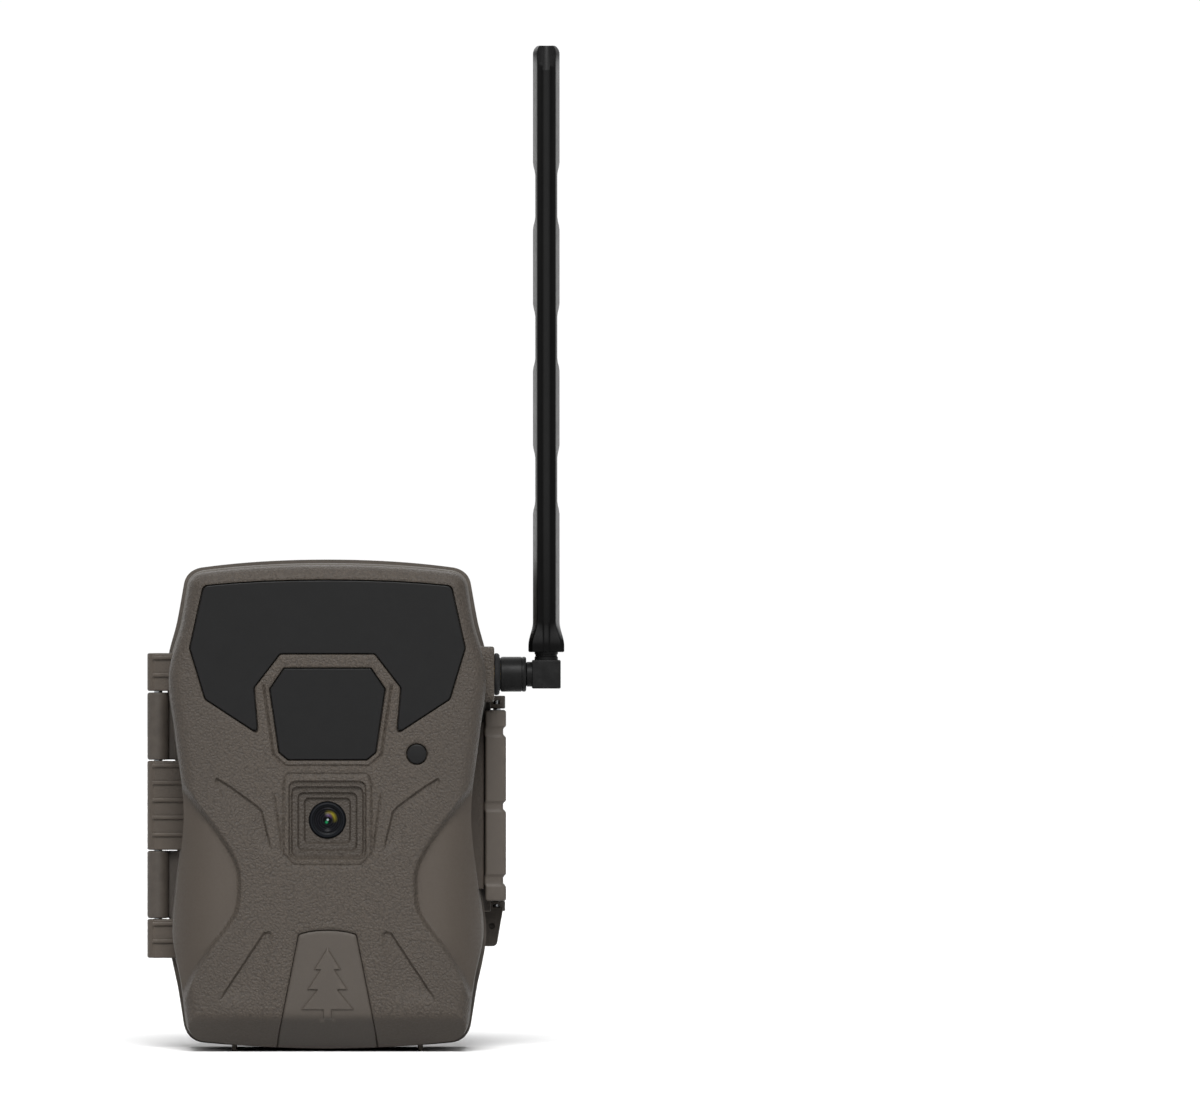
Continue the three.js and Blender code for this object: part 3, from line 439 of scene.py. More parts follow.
def bend(start, control, end, steps):
    """Points on a quadratic curve."""
    a, b, c = (np.array(p, float) for p in (start, control, end))
    share = np.linspace(0, 1, steps + 1)[:, None]
    return (1 - share) ** 2 * a + 2 * share * (1 - share) * b + share ** 2 * c


def spline(points, steps):
    """Points on an even Catmull-Rom curve, `steps` for each stretch."""
    known = np.array(points, float)
    padded = np.vstack([known[:1], known, known[-1:]])
    share = np.linspace(0, 1, steps, endpoint=False)[:, None]
    stretches = []
    for p0, p1, p2, p3 in zip(padded, padded[1:], padded[2:], padded[3:]):
        v1, v2 = (p2 - p0) / 2, (p3 - p1) / 2
        stretches.append((2 * p1 - 2 * p2 + v1 + v2) * share ** 3
                         + (3 * p2 - 3 * p1 - 2 * v1 - v2) * share ** 2 + v1 * share + p1)
    return np.vstack([*stretches, known[-1:]])


def mirrored(points):
    return np.array(points, float) * [-1, 1]


def symmetric(half):
    """The right half of an outline, from the top centre to the bottom centre, made whole."""
    half = [tuple(point) for point in half]
    left = [(-x, *rest) for x, *rest in reversed(half) if abs(x) > 1e-6]
    return half + left


def rounded(corners, steps=6):
    """An outline from corners (x, z) or (x, z, radius)."""
    outline = []
    for index, (x, z, *radius) in enumerate(corners):
        corner = np.array([x, z], float)
        if not radius:
            outline.append(corner)
            continue
        before = np.array(corners[index - 1][:2], float) - corner
        after = np.array(corners[(index + 1) % len(corners)][:2], float) - corner
        before /= np.linalg.norm(before)
        after /= np.linalg.norm(after)
        half_angle = math.acos(np.clip(before @ after, -1, 1)) / 2
        reach = radius[0] / math.tan(half_angle)
        outline.extend(bend(corner + before * reach, corner, corner + after * reach, steps))
    return np.array(outline)


def inset(corners, distance):
    """Moves every corner of a clockwise outline inwards by the same distance."""
    moved = []
    for index, (x, z, *radius) in enumerate(corners):
        corner = np.array([x, z], float)
        before = corner - np.array(corners[index - 1][:2], float)
        after = np.array(corners[(index + 1) % len(corners)][:2], float) - corner
        before /= np.linalg.norm(before)
        after /= np.linalg.norm(after)
        normal = np.array([before[1] + after[1], -before[0] - after[0]])
        corner = corner + normal * 2 * distance / (normal @ normal)
        moved.append((*corner, *radius))
    return moved


def body_outline(crown, shoulder, side, heel, sole):
    """The camera's waisted outline, from the heights of its crown and sole and the bends between them."""
    crown_arc = bend((0, crown), (shoulder[0][0] * 0.55, crown), shoulder[0], 10)
    shoulder_arc = bend(*shoulder, 8)
    flank = spline([shoulder[2], *side, heel[0]], 8)
    heel_arc = bend(*heel, 8)
    sole_arc = bend(heel[2], (heel[2][0] * 0.5, sole), (0, sole), 8)
    return symmetric([*crown_arc, *shoulder_arc[1:], *flank[1:], *heel_arc[1:], *sole_arc[1:]])


HOUSING_OUTLINE = body_outline(
    crown=152.8,
    shoulder=[(39.5, 150.3), (44.3, 149.3), (44.9, 144.6)],
    side=[(46.9, 133.5), (50.2, 118), (48.2, 96), (46.3, 76), (47.6, 54), (49.6, 36), (46.6, 19)],
    heel=[(45, 9), (44.3, 2.6), (38.5, 2)],
    sole=0.25,
)
DOOR_OUTLINE = body_outline(
    crown=151.1,
    shoulder=[(38.5, 148.9), (43, 148.2), (43.4, 143.4)],
    side=[(45.3, 132.2), (49.2, 117), (47.2, 98), (44.6, 74), (46.9, 51), (48.1, 36), (45.4, 22)],
    heel=[(43.8, 9.5), (43.3, 3.9), (38, 3.2)],
    sole=0.9,
)
LED_CORNERS = symmetric([
    (0, 146.6), (10, 146.5), (20, 146.2), (29, 145.65), (38.6, 144.8, 2.2), (42.9, 125.3, 1.5),
    (38.1, 109.4, 2), (21.3, 98.4, 1.2), (22.6, 113, 1.5), (14.6, 123.4, 1.5),
])
PIR_CORNERS = symmetric([(13.6, 119.3, 0.5), (18.1, 112.7, 0.5), (15.2, 92.9, 0.5), (12.3, 90.5, 0.5)])
BADGE_CORNERS = symmetric([(0, 38), (3, 37.9), (6, 37.5), (9, 36.7, 1.2), (14.9, 6.8), (16.4, -2)])
PANEL_EDGE = [
    (45.5, 84.5), (38.4, 75.2), (32.2, 66.9), (27.6, 58.7), (26.6, 52), (28, 42.5), (36.4, 30.8),
    (41.5, 22.5), (44, 16.3),
]


def grown(xs, zs, margin, radius):
    """The corners of a rounded rectangle, `margin` larger all round."""
    left, right, bottom, top = xs[0] - margin, xs[1] + margin, zs[0] - margin, zs[1] + margin
    return [(left, top, radius), (right, top, radius), (right, bottom, radius), (left, bottom, radius)]


def rectangle(half_width, bottom, top, radius):
    return rounded(grown((-half_width, half_width), (bottom, top), 0, radius))


def circle(centre, radius, sides=48):
    angle = np.linspace(0, 2 * math.pi, sides, endpoint=False)
    return np.stack([centre[0] + radius * np.sin(angle), centre[1] + radius * np.cos(angle)], 1)


def dense(line, step, closed=True):
    """The same line with points at most `step` apart."""
    line = np.array(line, float)
    following = np.roll(line, -1, 0) if closed else line[1:]
    stretches = []
    for start, end in zip(line, following):
        count = max(1, math.ceil(np.linalg.norm(end - start) / step))
        stretches.append(start + (end - start) * np.linspace(0, 1, count, endpoint=False)[:, None])
    return np.vstack(stretches if closed else [*stretches, line[-1:]])


def distance_to(x, z, line, closed=True):
    """Distance from each point to a line."""
    line = np.array(line, float)
    following = np.roll(line, -1, 0) if closed else line[1:]
    nearest = np.full(np.shape(x), np.inf)
    for (ax, az), (bx, bz) in zip(line, following):
        dx, dz = bx - ax, bz - az
        length = dx * dx + dz * dz
        if length == 0:
            continue
        share = np.clip(((x - ax) * dx + (z - az) * dz) / length, 0, 1)
        nearest = np.minimum(nearest, (x - ax - share * dx) ** 2 + (z - az - share * dz) ** 2)
    return np.sqrt(nearest)


def within(x, z, loop):
    """Signed distance to a loop: positive inside it."""
    loop = np.array(loop, float)
    inside = np.zeros(np.shape(x), bool)
    for (ax, az), (bx, bz) in zip(loop, np.roll(loop, -1, 0)):
        if az == bz:
            continue
        crosses = (az > z) != (bz > z)
        inside ^= crosses & (x < (bx - ax) * (z - az) / (bz - az) + ax)
    return np.where(inside, 1, -1) * distance_to(x, z, loop)


def ramp(value, start, end):
    """A smooth step from 0 at `start` to 1 at `end`."""
    share = np.clip((value - start) / (end - start), 0, 1)
    return share * share * (3 - 2 * share)


# ---------- Meshes ----------


def new_object(name, vertices, faces):
    """A mesh object from vertices in millimetres."""
    mesh = bpy.data.meshes.new(name)
    mesh.from_pydata((np.array(vertices, float) * MM).tolist(), [], faces)
    mesh.update()
    bm = bmesh.new()
    bm.from_mesh(mesh)
    bmesh.ops.recalc_face_normals(bm, faces=bm.faces)
    bm.to_mesh(mesh)
    bm.free()
    return add_object(name, mesh)


def lofted(name, rings):
    """A closed solid through rings of equally many 3-D points."""
    count = len(rings[0])
    vertices = np.vstack(rings)
    faces = [list(range(count)), list(range(len(vertices) - count, len(vertices)))]
    for ring in range(len(rings) - 1):
        for i in range(count):
            j = (i + 1) % count
            low = ring * count
            faces.append((low + i, low + j, low + count + j, low + count + i))
    return new_object(name, vertices, faces)


def placed(outline, axis, distance):
    """An outline as 3-D points at `distance` along `axis`. Its points are the other two coordinates."""
    return np.insert(np.array(outline, float), "xyz".index(axis), distance, axis=1)


def stacked(name, outline, levels):
    """A closed solid along y, through the outline inset by a distance at each (y, distance)."""
    return lofted(name, [placed(inset(outline, distance), "y", y) for y, distance in levels])


def quarter_round(edge):
    """A rounded edge, as (distance from the end, inset) from the side round to the end."""
    return [(edge * (1 - math.sin(a)), edge * (1 - math.cos(a))) for a in np.linspace(0, math.pi / 2, 4)]


def prism(name, corners, axis, start, end, edge=0.3, steps=4):
    """An outline between two distances along an axis, with rounded ends. `corners` run clockwise."""
    turns = quarter_round(edge)
    levels = [(start + rise, shrink) for rise, shrink in turns[::-1]]
    levels += [(end - rise, shrink) for rise, shrink in turns]
    shapes = [(level, rounded(inset(corners, shrink), steps)) for level, shrink in levels]
    return lofted(name, [placed(shape, axis, level) for level, shape in shapes])


def box(name, xs, ys, zs, edge=0.3):
    """A box with rounded edges."""
    bm = bmesh.new()
    bmesh.ops.create_cube(bm, size=1)
    size = [high - low for low, high in (xs, ys, zs)]
    for vertex in bm.verts:
        vertex.co = [(low + high) / 2 + c * s for c, s, (low, high) in zip(vertex.co, size, (xs, ys, zs))]
    if edge:
        bmesh.ops.bevel(bm, geom=bm.edges, offset=edge, segments=3, profile=0.5, affect="EDGES")
    mesh = mesh_from(bm, name)
    mesh.transform(Matrix.Scale(MM, 4))
    return add_object(name, mesh)


def turned(name, profile, axis, centre, sides=64):
    """A turned solid. The profile is (radius, distance along the axis) points; it starts and ends on the
    axis, or else closes on itself."""
    solid = profile[0][0] == 0
    angle = np.linspace(0, 2 * math.pi, sides, endpoint=False)
    along = "xyz".index(axis)
    across = [i for i in range(3) if i != along]
    inner = profile[1:-1] if solid else profile
    rings = []
    for radius, distance in inner:
        ring = np.zeros((sides, 3))
        ring[:, across[0]] = centre[across[0]] + radius * np.cos(angle)
        ring[:, across[1]] = centre[across[1]] + radius * np.sin(angle)
        ring[:, along] = distance
        rings.append(ring)
    vertices = np.vstack(rings)
    faces = []
    pairs = zip(range(len(rings)), [*range(1, len(rings)), 0])
    for first, second in pairs:
        if solid and second == 0:
            continue
        for i in range(sides):
            j = (i + 1) % sides
            faces.append((first * sides + i, first * sides + j, second * sides + j, second * sides + i))
    if solid:
        for ring, (_, distance) in ((0, profile[0]), (len(rings) - 1, profile[-1])):
            tip = np.array(centre, float)
            tip[along] = distance
            vertices = np.vstack([vertices, tip])
            hub = len(vertices) - 1
            faces.extend((ring * sides + i, ring * sides + (i + 1) % sides, hub) for i in range(sides))
    return new_object(name, vertices, faces)


def rod(name, radius, start, end, axis, centre, edge=0.3, sides=48):
    """A round bar with rounded ends."""
    slight = 0.3 * edge
    profile = [(0, start), (radius - edge, start), (radius - slight, start + slight), (radius, start + edge),
               (radius, end - edge), (radius - slight, end - slight), (radius - edge, end), (0, end)]
    return turned(name, profile, axis, centre, sides)


def combine(body, operation, others):
    """Joins (UNION) or cuts (DIFFERENCE) closed solids, and removes the others."""
    for other in others:
        modifier = body.modifiers.new("combine", "BOOLEAN")
        modifier.operation = operation
        modifier.solver = "MANIFOLD"
        modifier.object = other
    settle(body)
    for other in others:
        bpy.data.objects.remove(other)
    return body


def settle(body):
    """Applies the modifiers."""
    depsgraph = bpy.context.evaluated_depsgraph_get()
    mesh = bpy.data.meshes.new_from_object(body.evaluated_get(depsgraph))
    body.modifiers.clear()
    body.data = mesh


def merge_flats(thing):
    """Makes each flat stretch of the surface one face, so that it is shaded evenly."""
    bm = bmesh.new()
    bm.from_mesh(thing.data)
    bmesh.ops.dissolve_limit(bm, angle_limit=math.radians(0.3), verts=bm.verts, edges=bm.edges)
    bm.to_mesh(thing.data)
    bm.free()


MANY_SIDED = 12          # a face with this many corners is the end of a lofted solid
SQUARE = 0.9999          # the cosine above which a face counts as square to a direction


def finish_piece(thing, body, slot, paint, *nodes, angle=35, flat_along=(0, 0, 0)):
    """Smooth shading up to an angle, the paint, and what the piece is in the frame. The many-sided ends of
    lofted solids stay flat, and so do the faces square to `flat_along`."""
    mesh = thing.data
    mesh.set_sharp_from_angle(angle=math.radians(angle))
    direction = Vector(flat_along)
    mesh.polygons.foreach_set("use_smooth", [
        len(face.vertices) < MANY_SIDED and abs(face.normal @ direction) < SQUARE for face in mesh.polygons
    ])
    normals = thing.modifiers.new("normals", "WEIGHTED_NORMAL")
    normals.keep_sharp = True
    mesh.materials.clear()
    mesh.materials.append(PAINTS[paint])
    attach(thing, body)
    if nodes:
        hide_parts(*nodes)
    return thing


def contours(line, offsets, step, closed=True):
    """Lines beside a line at each offset, positive inwards of a clockwise loop, as lists of points."""
    points = dense(line, step, closed)
    ahead = np.roll(points, -1, 0) - np.roll(points, 1, 0)
    if not closed:
        ahead[0], ahead[-1] = points[1] - points[0], points[-1] - points[-2]
    ahead /= np.maximum(np.linalg.norm(ahead, axis=1, keepdims=True), 1e-9)
    inward = np.stack([ahead[:, 1], -ahead[:, 0]], 1)
    lines = []
    for offset in offsets:
        moved = points + inward * offset
        true = distance_to(moved[:, 0], moved[:, 1], line, closed)
        kept = true > abs(offset) * 0.97 - 0.001
        stretch = []
        for point, good in zip(moved, kept):
            if good:
                stretch.append(point)
            elif stretch:
                lines.append(stretch)
                stretch = []
        if closed and kept.all():
            stretch.append(moved[0])
        if stretch:
            lines.append(stretch)
    return lines


def field_solid(name, boundary, lines, surface, flat_y, spacing):
    """A closed solid. One face follows y = surface(x, z), with edges along `lines`; its sides run straight
    to flat_y."""
    boundary = dense(boundary, spacing)
    points = [tuple(p) for p in boundary]
    edges = [(i, (i + 1) % len(points)) for i in range(len(points))]
    for line in lines:
        line = np.array(line)
        clear = within(line[:, 0], line[:, 1], boundary) > 0.12
        previous = None
        for point, good in zip(line, clear):
            if not good:
                previous = None
                continue
            points.append(tuple(point))
            if previous is not None:
                edges.append((previous, len(points) - 1))
            previous = len(points) - 1
    tree = KDTree(len(points))
    for index, (x, z) in enumerate(points):
        tree.insert((x, z, 0), index)
    tree.balance()
    low, high = boundary.min(0), boundary.max(0)
    row_height = spacing * math.sqrt(3) / 2
    for row, z in enumerate(np.arange(low[1], high[1], row_height)):
        xs = np.arange(low[0] + (row % 2) * spacing / 2, high[0], spacing)
        inside = within(xs, np.full_like(xs, z), boundary) > spacing / 2
        for x in xs[inside]:
            if tree.find((x, z, 0))[2] > spacing * 0.55:
                points.append((x, z))
    flat, _, faces, *_ = delaunay_2d_cdt([Vector(p) for p in points], edges, [], 1, 1e-4)
    flat = np.array([tuple(p) for p in flat])
    used = sorted({corner for face in faces for corner in face})
    x, z = flat[used, 0], flat[used, 1]
    front = np.stack([x, surface(x, z), z], 1)
    number = {old: new for new, old in enumerate(used)}
    faces = [[number[corner] for corner in face] for face in faces]
    rim = rim_of(faces)
    back = range(len(front), len(front) + len(rim))
    for here, after in zip(range(len(rim)), [*range(1, len(rim)), 0]):
        faces.append([rim[here], rim[after], back[after], back[here]])
    faces.append(list(back))
    return new_object(name, np.vstack([front, front[rim] * [1, 0, 1] + [0, flat_y, 0]]), faces)


def rim_of(faces):
    """The vertices round the edge of a sheet, in order. Its faces are all wound the same way. Written out
    here because Blender's own extrusion numbers its edges differently from run to run."""
    sides = [side for face in faces for side in zip(face, [*face[1:], face[0]])]
    known = set(sides)
    following = {start: end for start, end in sides if (end, start) not in known}
    rim = [min(following)]
    while following[rim[-1]] != rim[0]:
        rim.append(following[rim[-1]])
    return rim


# ---------- The door's face ----------

LED_LOOP = rounded(LED_CORNERS)
PIR_LOOP = rounded(PIR_CORNERS)
BADGE_LOOP = rounded(BADGE_CORNERS)
SENSOR_LOOP = circle(SENSOR, 3.3)
RECESS_LOOPS = [
    rectangle(12, 59.9, 84.2, 2.5), rectangle(11.2, 60.6, 82.4, 2.4),
    rectangle(9.2, 62.5, 80.6, 2), rectangle(7.2, 64.8, 78.9, 1.7),
]
LENS_FRAME = rounded(symmetric([(0, 86.3), (12.6, 86.3, 1.5), (13.6, 83, 1), (13.6, 61.5, 1), (10.4, 58, 1)]))
PIR_GROOVE = [(-19.8, 113.6), (-16.7, 92.2), (-12.9, 88.8), (12.9, 88.8), (16.7, 92.2), (19.8, 113.6)]
CREASE = [(16.5, 79.6), (14.6, 66), (14.4, 63)]
PANEL_LINE = spline(PANEL_EDGE, 6)
PANEL_REGION = [(60, 84.5), *PANEL_LINE, (60, 16.3)]

# A blade is sunk along its deep line and rises to its faint one.
BLADES = [
    {"deep": [(34.3, 84.9), (30.5, 82.6), (21.9, 76.4), (20.3, 74.6), (18.6, 67.5), (16.9, 60.5)],
     "faint": [(34.9, 83.6), (33.2, 80.6), (27.6, 72.1), (18.8, 60.7)]},
    {"deep": [(18.2, 37.3), (19.6, 37.1), (34.8, 14.2)],
     "faint": [(16.9, 36.2), (17.3, 33.5), (19.2, 23), (21, 14.6)]},
]
BLADE_DEPTH = 1.05
BLADE_SHALLOW = 0.3      # how deep the faint line is


def door_form(x, z):
    """How far the plain door lies behind FRONT_Y: a rounded edge all round, and the slope of the sole."""
    across = np.clip(1 - within(x, z, DOOR_OUTLINE) / EDGE_WIDTH, 0, 1)
    edge = EDGE_DEPTH * (1 - np.sqrt(1 - across ** 2))
    under = SOLE_SLOPE_Z - z
    sole = (under + np.sqrt(under ** 2 + 1.2)) / 2
    return np.maximum(edge, sole)


EDGE_TURNS = np.radians([15, 30, 45, 58, 70, 80])
SOLE_LEVELS = (9.4, 10.2, 11, 11.8, 12.6)


def edge_lines(outline, width, step):
    """Lines along the rounded edge inside an outline."""
    return contours(outline, width * (1 - np.sin(EDGE_TURNS)), step)


def level_lines(levels, half_width, step):
    """Straight lines across, at each height."""
    return [dense([(-half_width, z), (half_width, z)], step, closed=False) for z in levels]


def panel_distance(x, z):
    """Signed distance into the smooth panel of either side."""
    return within(np.abs(x), z, PANEL_REGION)


def blade_depth(x, z, deep, faint):
    ends = [*deep, *reversed(faint)]
    side = np.abs(x)
    from_deep = distance_to(side, z, deep, closed=False)
    from_faint = distance_to(side, z, faint, closed=False)
    inside = ramp(within(side, z, ends), -0.35, 0.35)
    share = from_faint / np.maximum(from_deep + from_faint, 0.1)
    fade = ramp(distance_to(side, z, [deep[-1], faint[-1]], closed=False), 0, 6)
    return inside * fade * (BLADE_SHALLOW + (BLADE_DEPTH - BLADE_SHALLOW) * share)


def groove(x, z, line, depth, half_width, closed=False):
    return depth * (1 - ramp(distance_to(x, z, line, closed), 0, half_width))


def pocket(x, z, loop, depth):
    """A steep-walled pocket with a rounded shoulder."""
    inside = within(x, z, loop)
    return (depth - 0.25) * ramp(inside, -0.12, 0.12) + 0.25 * ramp(inside, -0.7, -0.1)


def door_depth(x, z):
    """How far the finished face lies behind FRONT_Y."""
    form = door_form(x, z)
    over = np.clip(np.abs(x) - (PANEL_HALF_WIDTH - PANEL_ROUND), 0, PANEL_ROUND * 0.99)
    panel = SKIN_STEP + PANEL_ROUND - np.sqrt(PANEL_ROUND ** 2 - over ** 2)
    share = ramp(panel_distance(x, z), -0.2, 1.7)
    depth = form + share * (np.maximum(form, panel) - form)
    for loop in RECESS_LOOPS:
        depth += ramp(within(x, z, loop), -0.15, 0.45)
    depth += pocket(x, z, LED_LOOP, WINDOW_DEPTH)
    depth += pocket(x, z, PIR_LOOP, WINDOW_DEPTH)
    depth += pocket(x, z, SENSOR_LOOP, 1.6)
    depth += pocket(x, z, BADGE_LOOP, 1.7)
    depth += groove(x, z, LENS_FRAME, 0.4, 0.7, closed=True)
    depth += groove(x, z, PIR_GROOVE, 0.45, 0.6)
    depth += groove(np.abs(x), z, CREASE, 0.4, 0.6)
    for blade in BLADES:
        depth += blade_depth(x, z, **blade)
    return depth


def both_sides(line):
    return [np.array(line, float), mirrored(line)]


def door_lines():
    """The lines that the face's mesh follows."""
    lines = edge_lines(DOOR_OUTLINE, EDGE_WIDTH, 1.2)
    for loop in (LED_LOOP, PIR_LOOP, SENSOR_LOOP, BADGE_LOOP):
        lines += contours(loop, (-0.7, -0.4, -0.12, 0.12), 0.6)
    for loop in RECESS_LOOPS:
        lines += contours(loop, (-0.15, 0.15, 0.45), 0.6)
    lines += contours(LENS_FRAME, (-0.7, -0.35, 0, 0.35, 0.7), 0.6)
    lines += contours(PIR_GROOVE, (-0.6, -0.3, 0, 0.3, 0.6), 0.6, closed=False)
    for line in both_sides(CREASE):
        lines += contours(line, (-0.6, -0.3, 0, 0.3, 0.6), 0.6, closed=False)
    for line in both_sides(PANEL_LINE):
        lines += contours(line, (-1.7, -1.2, -0.7, -0.2, 0.2, 0.7, 1.2, 1.7), 0.8, closed=False)
    for blade in BLADES:
        for line in both_sides([*blade["deep"], *reversed(blade["faint"])]):
            lines += contours(line, (-0.35, 0, 0.35), 0.6)
    return lines + level_lines(SOLE_LEVELS, 44, 1)


def cavity_depth(x, z):
    """The inside of the door: always at least a wall behind the face."""
    deepest = door_depth(x, z)
    for angle in np.arange(0, 2 * math.pi, math.pi / 4):
        deepest = np.maximum(deepest, door_depth(x + 2 * math.cos(angle), z + 2 * math.sin(angle)))
    return deepest + 1.6


def vertex_places(thing):
    """x, y and z of a mesh's vertices, in millimetres."""
    place = np.zeros(len(thing.data.vertices) * 3)
    thing.data.vertices.foreach_get("co", place)
    return (place.reshape(-1, 3) / MM).T


def mark(thing, name, values):
    """Gives each vertex a value that the paint reads."""
    attribute = thing.data.attributes.new(name, "FLOAT", "POINT")
    attribute.data.foreach_set("value", values.astype(np.float32))


def mark_door(door):
    """Where the door is grained: the skin, less so on the sole, not on the side panels or the hinge. The
    sole, the lens recess and the sides are shaded."""
    x, y, z = vertex_places(door)
    grain = 1 - ramp(panel_distance(x, z), 0.9, 2.2)
    grain *= 0.2 + 0.8 * ramp(z, 8.5, 12)
    grain *= 1 - 0.9 * ramp(-x, 49.3, 49.8)
    grain *= 1 - 0.7 * ramp(y, -16, -12)
    grain *= 1 - 0.8 * ramp(within(x, z, BADGE_LOOP), -0.3, 0.3)
    outside = -within(x, z, DOOR_OUTLINE)
    # The bead is marked for a painted highlight.
    bead = ramp(outside, 0.02, 0.12) * (1 - ramp(outside, 0.65, 0.8)) * ramp(y, -13.3, -13)
    shade = 0.6 * sole_shade(y, z) + 0.42 * ramp(within(x, z, RECESS_LOOPS[0]), 0, 3)
    shade += 0.27 * ramp(np.abs(x), 22, 45) * ramp(z, 10, 14) * (1 - ramp(y, -34, -30))
    mark(door, "grain", grain)
    mark(door, "bead", bead)
    mark(door, "shade", shade)


def sole_shade(y, z):
    """1 on the slope under the front."""
    return (1 - ramp(z, 9, 12)) * (1 - ramp(y, -36, -32))


def hinge_leaf(bottom, top):
    """A ribbed leaf and its barrel."""
    hinge_x, hinge_y = HINGE
    front_y = hinge_y - HINGE_BARREL
    centre = (hinge_x, hinge_y, 0)
    pieces = [rod("barrel", HINGE_BARREL, bottom, top, "z", centre, 0.5),
              box("leaf", (hinge_x - 1.5, -43), (front_y, DOOR_BACK_Y), (bottom, top), 0.5)]
    rib_z = top - 1.4
    while rib_z > bottom + 0.6:
        rib_span = (rib_z - 0.7, rib_z + 0.7)
        pieces.append(box("rib", (-54.6, -44), (front_y - 0.7, front_y + 1.2), rib_span, 0.45))
        rib_z -= 5.4
    return pieces


# The bead round the door's rear edge, as (y, distance in from the outline).
BEAD = [(-13.2, 0.3), (-13, -0.05), (-12.75, -0.3), (-12.4, -0.5), (-11.9, -0.6), (DOOR_BACK_Y, -0.6)]


def make_door():
    door = field_solid("door_shell", DOOR_OUTLINE, door_lines(),
                       lambda x, z: FRONT_Y + door_depth(x, z), DOOR_BACK_Y, 1.2)
    cavity = field_solid("cavity", inset(DOOR_OUTLINE, WALL), [],
                         lambda x, z: FRONT_Y + cavity_depth(x, z), DOOR_BACK_Y + 3, 2.5)
    relief = [rod("relief", HINGE_BARREL + 0.4, low - GAP, high + GAP, "z", (*HINGE, 0), 0.1)
              for low, high in HOUSING_KNUCKLES]
    leaves = [piece for span in DOOR_KNUCKLES for piece in hinge_leaf(*span)]
    boss_corners = grown((ANTENNA_Y, ANTENNA_Y), (ANTENNA_Z, ANTENNA_Z), BOSS_HALF_WIDTH, 2.4)
    boss = prism("boss", boss_corners, "x", 40, BOSS_X, 0.6)
    feet = [box("foot", (x - 0.7, x + 0.7), (-32, -13), (0, 3), 0.25) for x in (-29, 29)]
    catch = box("catch", (42, 48.9), (-13.6, -11), (50, 102), 0.4)
    hole = rod("lens_hole", 5.85, FRONT_Y, FRONT_Y + 12, "y", (0, 0, LENS_Z), 0.1)
    port = rod("port_hole", 3.3, 40, BOSS_X + 1, "x", (0, ANTENNA_Y, ANTENNA_Z), 0.1)
    bore = rod("bore", 1.55, 20, 130, "z", (*HINGE, 0), 0.1)
    combine(door, "UNION", [stacked("bead", DOOR_OUTLINE, BEAD)])
    combine(door, "DIFFERENCE", relief)
    combine(door, "UNION", [*leaves, boss, *feet, catch])
    combine(door, "DIFFERENCE", [cavity, hole, port, bore])
    mark_door(door)
    finish_piece(door, "door", "textured_shell", "skin", "front_cover")


def window_plate(name, corners, thickness, sunk, node):
    """A smoked plate with a rounded front edge."""
    rings = []
    for back, shrink in [(thickness, 0), *quarter_round(0.3)]:
        rings.append(placed(rounded(inset(corners, WINDOW_GAP + shrink)), "y", FRONT_Y + sunk + back))
    plate = lofted(name, rings)
    finish_piece(plate, "door", "smoked_window", "smoked", node)


# The relief on the badge is a plain conifer.
TREE = [
    (0, 32.5), (4.2, 25.6), (2.2, 25.6), (6.3, 19.4), (3.2, 19.4), (8.2, 13.2), (1.3, 13.2), (1.3, 10.3),
    (0, 10.3),
]
BADGE_SUNK = 0.55
BADGE_RELIEF = 0.6


def badge_depth(x, z):
    relief = BADGE_RELIEF * ramp(within(x, z, symmetric(TREE)), -0.15, 0.3)
    rim = 0.25 * (1 - ramp(within(x, z, rounded(inset(BADGE_CORNERS, WINDOW_GAP))), 0, 0.5))
    return door_form(x, z) + BADGE_SUNK - relief + rim


def make_badge():
    right = [tuple(p) for p in rounded(inset(BADGE_CORNERS, WINDOW_GAP)) if p[0] > 0.1 and p[1] > 1.2]
    ends = symmetric([(0, 38 - WINDOW_GAP), *right, (15.2, 1.3), (0, 1)])
    lines = contours(symmetric(TREE), (-0.15, 0.08, 0.3), 0.4) + contours(ends, (0.25, 0.5), 0.6)
    lines += level_lines(SOLE_LEVELS, 15, 1)
    badge = field_solid("badge", ends, lines, lambda x, z: FRONT_Y + badge_depth(x, z), -34.5, 0.9)
    back = field_solid("badge_back", dense([(-20, 40), (20, 40), (20, -3), (-20, -3)], 2), [],
                       lambda x, z: FRONT_Y + 1.5 + door_form(x, z), -30, 1.5)
    combine(badge, "DIFFERENCE", [back])
    _, y, z = vertex_places(badge)
    # Darker all over, with painted shade deepening on the slope of the sole.
    mark(badge, "shade", 0.22 + 0.5 * sole_shade(y, z))
    finish_piece(badge, "door", "smooth_shell", "shell", "badge_plate")


# ---------- Rear housing ----------

TRIPOD_Y = 8.6
BRACKET_Y = 28.5
LATCH = (53, 1)
LATCH_OUTER_X = 55.7
RAIL_Y = -9.6            # the front of the rail that the lever closes against
SHADE_X = 50.35        # the housing takes painted shade past here, on its brackets and lock tab
EAR_LEVELS = [(42.9, 46), (106.2, 110.2)]
BACK_DEPTH, BACK_WIDTH = 6, 5     # the elliptical round of the housing's back edge
BACK_RECESS = rectangle(17, 46, 106, 3)
BACK_RIBS = range(52, 103, 8)


